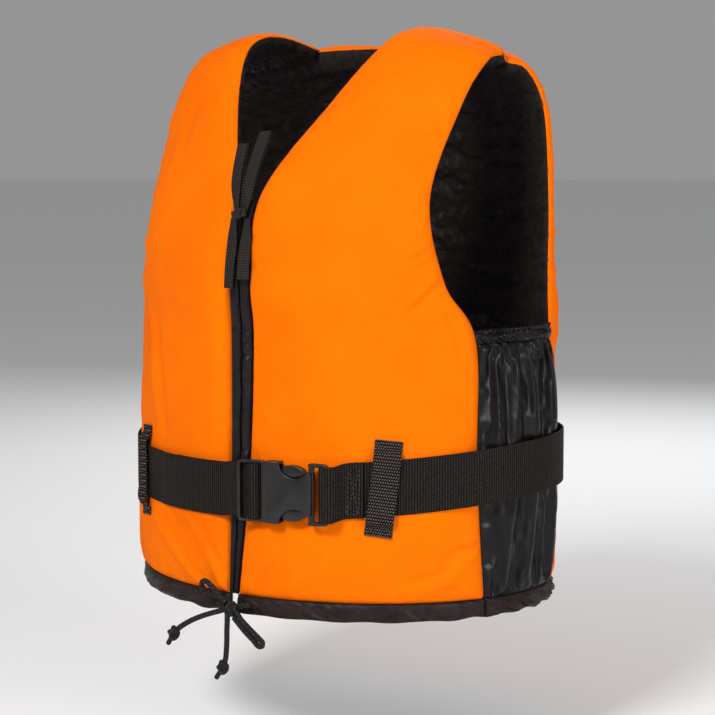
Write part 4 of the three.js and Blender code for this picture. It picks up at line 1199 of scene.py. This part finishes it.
# ---------------------------------------------------------------- side-release buckle
# Moulded satin plastic. The female body is a flat sleeve with a waist above and below; the male end is
# a frame with a bar for the adjuster strap, a guide, and two spring prongs whose pads show in the waist.


def plastic_finish():
    """Dark grey acetal with a fine moulded grain and slightly worn, lighter high spots."""
    material, tree, shader = node_chain("buckle_acetal")
    grain = noise(tree, 900.0, 2.0)
    scuff = noise(tree, 55.0, 4.0, 0.65)
    tree.links.new(colours_by(tree, scuff, (0.006, 0.006, 0.0062), (0.015, 0.0145, 0.0148), 0.35, 0.75),
                   shader.inputs["Base Color"])
    tree.links.new(maths(tree, "ADD", maths(tree, "MULTIPLY", scuff, 0.22), 0.22), shader.inputs["Roughness"])
    shader.inputs["Specular IOR Level"].default_value = 0.4
    bumped(tree, shader, grain, 0.00012)
    return material


buckle_acetal = plastic_finish()


def outline_arc(center, radius, start, end, count=10):
    """Points on an arc, angles in degrees."""
    turn = np.radians(np.linspace(start, end, count))
    return np.stack([center[0] + radius * np.cos(turn), center[1] + radius * np.sin(turn)], 1)


def rounded_plate(left, right, low, high, radius):
    """Outline of a rectangle with round corners."""
    return np.concatenate([
        outline_arc((right - radius, low + radius), radius, -90, 0, 6),
        outline_arc((right - radius, high - radius), radius, 0, 90, 6),
        outline_arc((left + radius, high - radius), radius, 90, 180, 6),
        outline_arc((left + radius, low + radius), radius, 180, 270, 6),
    ])


def moulded(outlines, inward, thickness, bevel):
    """A flat moulding with softened edges from an outline and its holes, at a depth in the buckle."""
    curve = bpy.data.curves.new("moulding", "CURVE")
    curve.dimensions = "2D"
    curve.fill_mode = "BOTH"
    curve.extrude = thickness / 2 - bevel
    curve.bevel_depth = bevel
    curve.bevel_resolution = 2
    curve.offset = -bevel
    for outline in outlines:
        spline = curve.splines.new("POLY")
        spline.points.add(len(outline) - 1)
        flat = np.zeros((len(outline), 4))
        flat[:, :2] = outline
        flat[:, 3] = 1.0
        spline.points.foreach_set("co", flat.ravel())
        spline.use_cyclic_u = True
    holder = bpy.data.objects.new("moulding", curve)
    bpy.context.scene.collection.objects.link(holder)
    mesh = bpy.data.meshes.new_from_object(holder.evaluated_get(bpy.context.evaluated_depsgraph_get()))
    points = np.zeros(len(mesh.vertices) * 3)
    mesh.vertices.foreach_get("co", points)
    points = points.reshape(-1, 3)
    polygons = [list(polygon.vertices) for polygon in mesh.polygons]
    bpy.data.objects.remove(holder)
    bpy.data.meshes.remove(mesh)
    return by_buckle(points[:, 0], points[:, 2] + inward, points[:, 1]), polygons


def buckle_piece(name, mouldings, body, node):
    """One part of the buckle from its mouldings, with sharp edges only where they are steep."""
    form = bmesh.new()
    for points, polygons in mouldings:
        loose = bpy.data.meshes.new("moulding")
        loose.from_pydata(placed(points).tolist(), [], polygons)
        form.from_mesh(loose)
        bpy.data.meshes.remove(loose)
    mesh = bpy.data.meshes.new(name)
    bmesh.ops.remove_doubles(form, verts=form.verts, dist=1e-6)
    bmesh.ops.recalc_face_normals(form, faces=form.faces)
    form.to_mesh(mesh)
    form.free()
    mesh.materials.append(buckle_acetal)
    mesh.polygons.foreach_set("use_smooth", np.ones(len(mesh.polygons), bool))
    mesh.set_sharp_from_angle(angle=0.7)
    piece = bpy.data.objects.new(name, mesh)
    bpy.context.scene.collection.objects.link(piece)
    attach(piece, body)
    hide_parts(node)


HALF = BUCKLE_HEIGHT / 2
SLOT_HALF = 25.5
FEMALE_THICKNESS, MALE_THICKNESS, WALL = 12.0, 5.5, 2.0
WAIST_MIDDLE, WAIST_RADIUS, WAIST_OFF = 58.5, 16.0, 30.0


def sleeve_outline():
    """The sleeve: square at the mouth, bitten by a circle above and below, narrow where the arms begin."""
    start = np.degrees(np.arccos((WAIST_OFF - HALF) / WAIST_RADIUS))
    end = 52.0
    lower = outline_arc((WAIST_MIDDLE, -WAIST_OFF), WAIST_RADIUS, 90 + start, 90 - end, 22)
    low_corner = lower[-1] + (3.2, 1.4)
    half = np.concatenate([outline_arc((MOUTH + 2, -HALF + 2), 2.0, 180, 270, 5), lower, [low_corner]])
    return np.concatenate([half, (half * (1, -1))[::-1]])


face_depth = (FEMALE_THICKNESS - WALL) / 2
female_mouldings = [
    moulded([sleeve_outline()], -face_depth, WALL, 0.7),
    moulded([sleeve_outline()], face_depth, WALL, 0.7),
    moulded([rounded_plate(ARM_START, HOUSING_END - 0.3, -17, 17, 0.8)], 0.0, FEMALE_THICKNESS - 0.8, 0.5),
    moulded([rounded_plate(MOUTH, 43.0, HALF - 2.6, HALF, 0.9)], 0.0, FEMALE_THICKNESS - 0.6, 0.5),
    moulded([rounded_plate(MOUTH, 43.0, -HALF, -HALF + 2.6, 0.9)], 0.0, FEMALE_THICKNESS - 0.6, 0.5),
    moulded([rounded_plate(MOUTH, MOUTH + 3.4, -HALF + 3, HALF - 3, 0.8)], -face_depth - 0.45, WALL, 0.5),
    moulded([rounded_plate(70.6, BUCKLE_LENGTH, -HALF, HALF, 6.0),
             rounded_plate(HOUSING_END + 0.6, FEMALE_BAR[0], -HALF + 3.4, HALF - 3.4, 2.6)],
            0.0, 2 * BAR_HALF, 1.1),
    moulded([rounded_plate(70.6, 80.0, HALF - 3.6, HALF, 1.7)], 0.0, 6.4, 1.1),
    moulded([rounded_plate(70.6, 80.0, -HALF, -HALF + 3.6, 1.7)], 0.0, 6.4, 1.1),
]
buckle_piece("buckle_female_body", female_mouldings, "vest", "buckle_female")

male_mouldings = [
    moulded([rounded_plate(0, MOUTH - LAYER_GAP, -HALF, HALF, 4.5),
             rounded_plate(2.9, 25.2, -SLOT_HALF, SLOT_HALF, 2.0)], 0.0, MALE_THICKNESS, 0.9),
    moulded([rounded_plate(*MALE_BAR, -HALF + 1.2, HALF - 1.2, 1.4)], 0.0, 2 * BAR_HALF, 0.8),
    moulded([rounded_plate(MOUTH - 2.6, GUIDE_END, -4, 4, 1.4)], 0.0, 2 * BAR_HALF, 0.6),
    moulded([rounded_plate(25.0, MOUTH - LAYER_GAP, -HALF + 2, HALF - 2, 0.9)], 0.0, 7.6, 0.7),
]
buckle_piece("buckle_male_frame", male_mouldings, "buckle_male_end", "buckle_male")

PRONG_START = MOUTH + 0.6


def prong_outline(way):
    """A slim spring arm that widens to a lens-shaped thumb pad; way is 1 for the upper, -1 for the lower."""
    inner_points = [(PRONG_START, 15.5), (40, 14.8), (50, 14.2), (60, 15.0), (69, 18.5)]
    outer_points = [(69, 18.6), (65, 22.4), (58, 25.0), (50, 25.0), (46, 23.2)]
    inner = smooth_rows(inner_points, np.linspace(0, 4, 26))
    outer = smooth_rows(outer_points, np.linspace(0, 4, 22))
    back = np.array([(45.2, 21.0), (44.2, 19.0), (PRONG_START, 19.5)])
    line = np.concatenate([inner, outer[1:], back])
    return line * (1, way) if way > 0 else (line * (1, way))[::-1]


for name, way, body in (("upper", 1, "upper_prong"), ("lower", -1, "lower_prong")):
    arm = moulded([prong_outline(way)], 0.0, 6.8, 0.9)
    buckle_piece(f"buckle_spring_prong_{name}", [arm], body, f"buckle_prong_{name}")

# ---------------------------------------------------------------- ribbon bow at the neck
# Two 12 mm ribbed ribbons, sewn to the neck point of each front panel and tied in a bow: two folded
# loops stand up behind the knot and two tails hang below it.
RIBBON_WIDTH, RIBBON = 12.0, 1.0


def ribbon_finish():
    """Black grosgrain: cross ribs about a millimetre apart and woven edges."""
    material, tree, shader = node_chain("grosgrain_ribbon")
    u, v = texture_places(tree)
    lengthwise = maths(tree, "ADD", wave(tree, u, v, 0, 420), 1.2)
    ribs = maths(tree, "MULTIPLY", wave(tree, u, v, 700, 0), lengthwise)
    tree.links.new(colours_by(tree, ribs, (0.003, 0.0025, 0.0025), (0.08, 0.066, 0.058), 0.3, 2.0),
                   shader.inputs["Base Color"])
    shader.inputs["Roughness"].default_value = 0.6
    shader.inputs["Specular IOR Level"].default_value = 0.2
    bumped(tree, shader, ribs, 0.00025)
    return material


grosgrain = ribbon_finish()


def ribbon(places, twist, pinch):
    """A ribbon through places, its width turned by up to twist degrees towards its end."""
    turn = np.radians(np.linspace(twist[0], twist[1], len(places)))
    across = np.stack([np.cos(turn), np.sin(turn), 0 * turn], 1)
    places = np.array(places, float)
    return webbing_strap(places, RIBBON_WIDTH, RIBBON, across=across, ribs=5, step=1.0, pinch=pinch)


def folded_ribbon(places, twist):
    """A loop of ribbon pressed flat: up one face, round the fold and down the other, 1.5 mm apart."""
    path = even_path(np.array(places, float), 2.0)
    _, _, normal = frames_along(path, (1.0, 0.0, 0.0))
    top = path[-1] + unit(path[-1] - path[-2]) * 0.9
    gap = 0.85 + 0.5 * np.sin(np.linspace(0, np.pi, len(path)))[:, None]
    there_and_back = np.concatenate([path - normal * gap, top[None], (path + normal * gap)[::-1]])
    return ribbon(there_and_back, twist, (0.45, 0.45))


BOW = np.array([2.0, -164.5, 364.0])
BOW_LOOPS = {
    "left": (
        [(6, -161.2, 367), (7.2, -160.2, 374), (9, -157, 392), (12, -149, 416), (15, -141.5, 437)], (8, -10)),
    "right": (
        [(0, -164.2, 367), (-1, -163.4, 374), (-3, -161, 390), (-5, -154, 410), (-6, -147.5, 426)], (-12, 6)),
}
BOW_TAILS = {
    "left": (
        [(9.4, -162, 360), (9.8, -162.6, 354), (10, -165, 338), (10.6, -168.8, 320), (10.8, -170.4, 305)],
        (0, 14)),
    "right": (
        [(-3.4, -165, 360), (-3.6, -165.6, 354), (-3.4, -168, 337), (-4, -171, 315), (-4.5, -172.4, 297)],
        (0, -12)),
}
for wearer_side, (places, twist) in BOW_LOOPS.items():
    new_piece(f"bow_loop_{wearer_side}", *folded_ribbon(places, twist), grosgrain,
              stands_for=[f"neck_bow_loop_{wearer_side}"], slot="ribbon")
for wearer_side, (places, twist) in BOW_TAILS.items():
    new_piece(f"bow_tail_{wearer_side}", *ribbon(places, twist, (0.45, 0.0)), grosgrain,
              body=f"ribbon_tail_{wearer_side}", stands_for=[f"neck_bow_tail_{wearer_side}"], slot="ribbon")

wrap_turn = np.linspace(0, 2 * np.pi, 25)[:-1]
wrap_path = BOW + np.stack([1.5 * np.sin(wrap_turn), 3.6 * np.cos(wrap_turn), 5.2 * np.sin(wrap_turn)], 1)
cross_path = BOW + np.stack([7.5 * np.cos(wrap_turn), 2.6 * np.sin(wrap_turn), 2.0 * np.cos(wrap_turn)], 1)
knot_parts = [
    webbing_strap(np.concatenate([path, path[:2]]), width, RIBBON, across=across, ribs=4, step=1.0)
    for path, width, across in ((wrap_path, 8.5, (1.0, 0.0, 0.25)), (cross_path, 7.5, (-0.2, 0.0, 1.0)))
]
new_piece("bow_knot_tied", *joined(knot_parts), grosgrain, stands_for=["neck_bow_knot"], slot="ribbon")

# ---------------------------------------------------------------- stitching
# Lockstitch rows in black thread: short raised stitches, each a slim rounded bar.


def thread_finish():
    """Twisted black polyester thread."""
    material, tree, shader = node_chain("black_thread")
    twist = noise(tree, 1500.0, 2.0)
    shade = colours_by(tree, twist, (0.042, 0.039, 0.036), (0.07, 0.065, 0.06))
    tree.links.new(shade, shader.inputs["Base Color"])
    shader.inputs["Roughness"].default_value = 0.55
    bumped(tree, shader, twist, 0.0002)
    return material


black_thread = thread_finish()
MM_PER_DEGREE = 3.55
STITCH, STITCH_GAP, THREAD = 3.0, 1.1, 0.32


def stitch_row(path, out):
    """Stitches along a path: each is a bar of five rings, its radius a half sine, sunk at both ends."""
    run = np.concatenate([[0.0], np.cumsum(np.linalg.norm(np.diff(path, axis=0), axis=1))])
    count = max(1, int(run[-1] / (STITCH + STITCH_GAP)))
    start = np.arange(count) * (run[-1] / count)
    share = np.linspace(0, 1, 5)
    where = start[:, None] + share[None, :] * STITCH
    spot = np.stack([np.interp(where, run, path[:, k]) for k in range(3)], -1)
    away = np.stack([np.interp(where, run, out[:, k]) for k in range(3)], -1)
    ahead = unit(spot[:, -1:] - spot[:, :1])
    across = unit(np.cross(np.broadcast_to(ahead, away.shape), away))
    swell = np.sin(np.pi * np.clip(share, 0.08, 0.92))
    center = spot + away * (0.28 * swell - 0.06)[None, :, None]
    turn = np.linspace(0, 2 * np.pi, 6, endpoint=False)
    ring = np.cos(turn)[:, None] * across[:, :, None] + np.sin(turn)[:, None] * away[:, :, None]
    points = center[:, :, None] + THREAD * swell[None, :, None, None] * ring
    bar, _ = tube_faces(5, 6)
    ends = np.stack([center[:, 0], center[:, -1]], 1)
    points = np.concatenate([points.reshape(count, -1, 3), ends], 1)
    first = np.arange(count) * points.shape[1]
    faces = np.where(bar >= 0, bar + first[:, None, None], -1).reshape(-1, 4)
    return points.reshape(-1, 3), faces, np.zeros((len(faces), 4, 2))


def ring_row(start, end, height, standoff):
    """A row of stitches round the body between two angles."""
    angle = np.linspace(start, end, 240)
    height, standoff = np.broadcast_to(height, angle.shape), np.broadcast_to(standoff, angle.shape)
    points, _, out = ring_point(angle, height, standoff)
    return stitch_row(points, out)


HEM_ROW_HEIGHT, HEM_ROW_STANDOFF = 14.6, 2.9
row_end, back_row_start = float(edge_angle(FRONT, 15.0)), float(edge_angle(BACK, 15.0))
front_row = ring_row(HEM_START + 1, row_end, HEM_ROW_HEIGHT, HEM_ROW_STANDOFF)
back_row = ring_row(back_row_start, 360 - back_row_start, HEM_ROW_HEIGHT, HEM_ROW_STANDOFF)
hem_rows = joined([front_row, mirrored(front_row), back_row])
new_piece("hem_topstitching", *hem_rows, black_thread, slot="thin_nylon")


def box_stitch(angle, middle, low, high, half_width, standoff, cross=True):
    """A sewn box with a cross in it, on webbing that stands off the body."""
    rows = []
    degrees = half_width / MM_PER_DEGREE
    corners = [(-1, low), (1, low), (1, high), (-1, high), (-1, low)]
    lines = list(zip(corners[:-1], corners[1:]))
    if cross:
        lines += [((-1, low), (1, high)), ((-1, high), (1, low))]
    for (u0, w0), (u1, w1) in lines:
        share = np.linspace(0, 1, 24)
        side = angle + degrees * (u0 + (u1 - u0) * share)
        height = middle + w0 + (w1 - w0) * share
        points, _, out = ring_point(side, height, np.full(24, standoff))
        rows.append(stitch_row(points, out))
    return joined(rows)


loop_boxes = []
for _, angle, tilt, _ in LOOPS:
    for low, high in ((-41.0, -37.0), (37.0, 41.0)):
        loop_boxes.append(box_stitch(angle + tilt * low / 43, belt_height(angle), low, high, 10.0,
                                     FREE_STANDOFF + WEBBING * 0.62, cross=False))
new_piece("belt_loop_stitching", *joined(loop_boxes), black_thread, slot="webbing")

sewn_angle = loop_angle - 7.4
sewn_box = box_stitch(sewn_angle, belt_height(sewn_angle), -21.0, 21.0, 5.0,
                      BELT_STANDOFF + 1.62 * WEBBING + 2 * LAYER_GAP + 0.2)
new_piece("belt_end_stitching", *sewn_box, black_thread, slot="webbing")

# ---------------------------------------------------------------- sizes and the end
low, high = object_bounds()
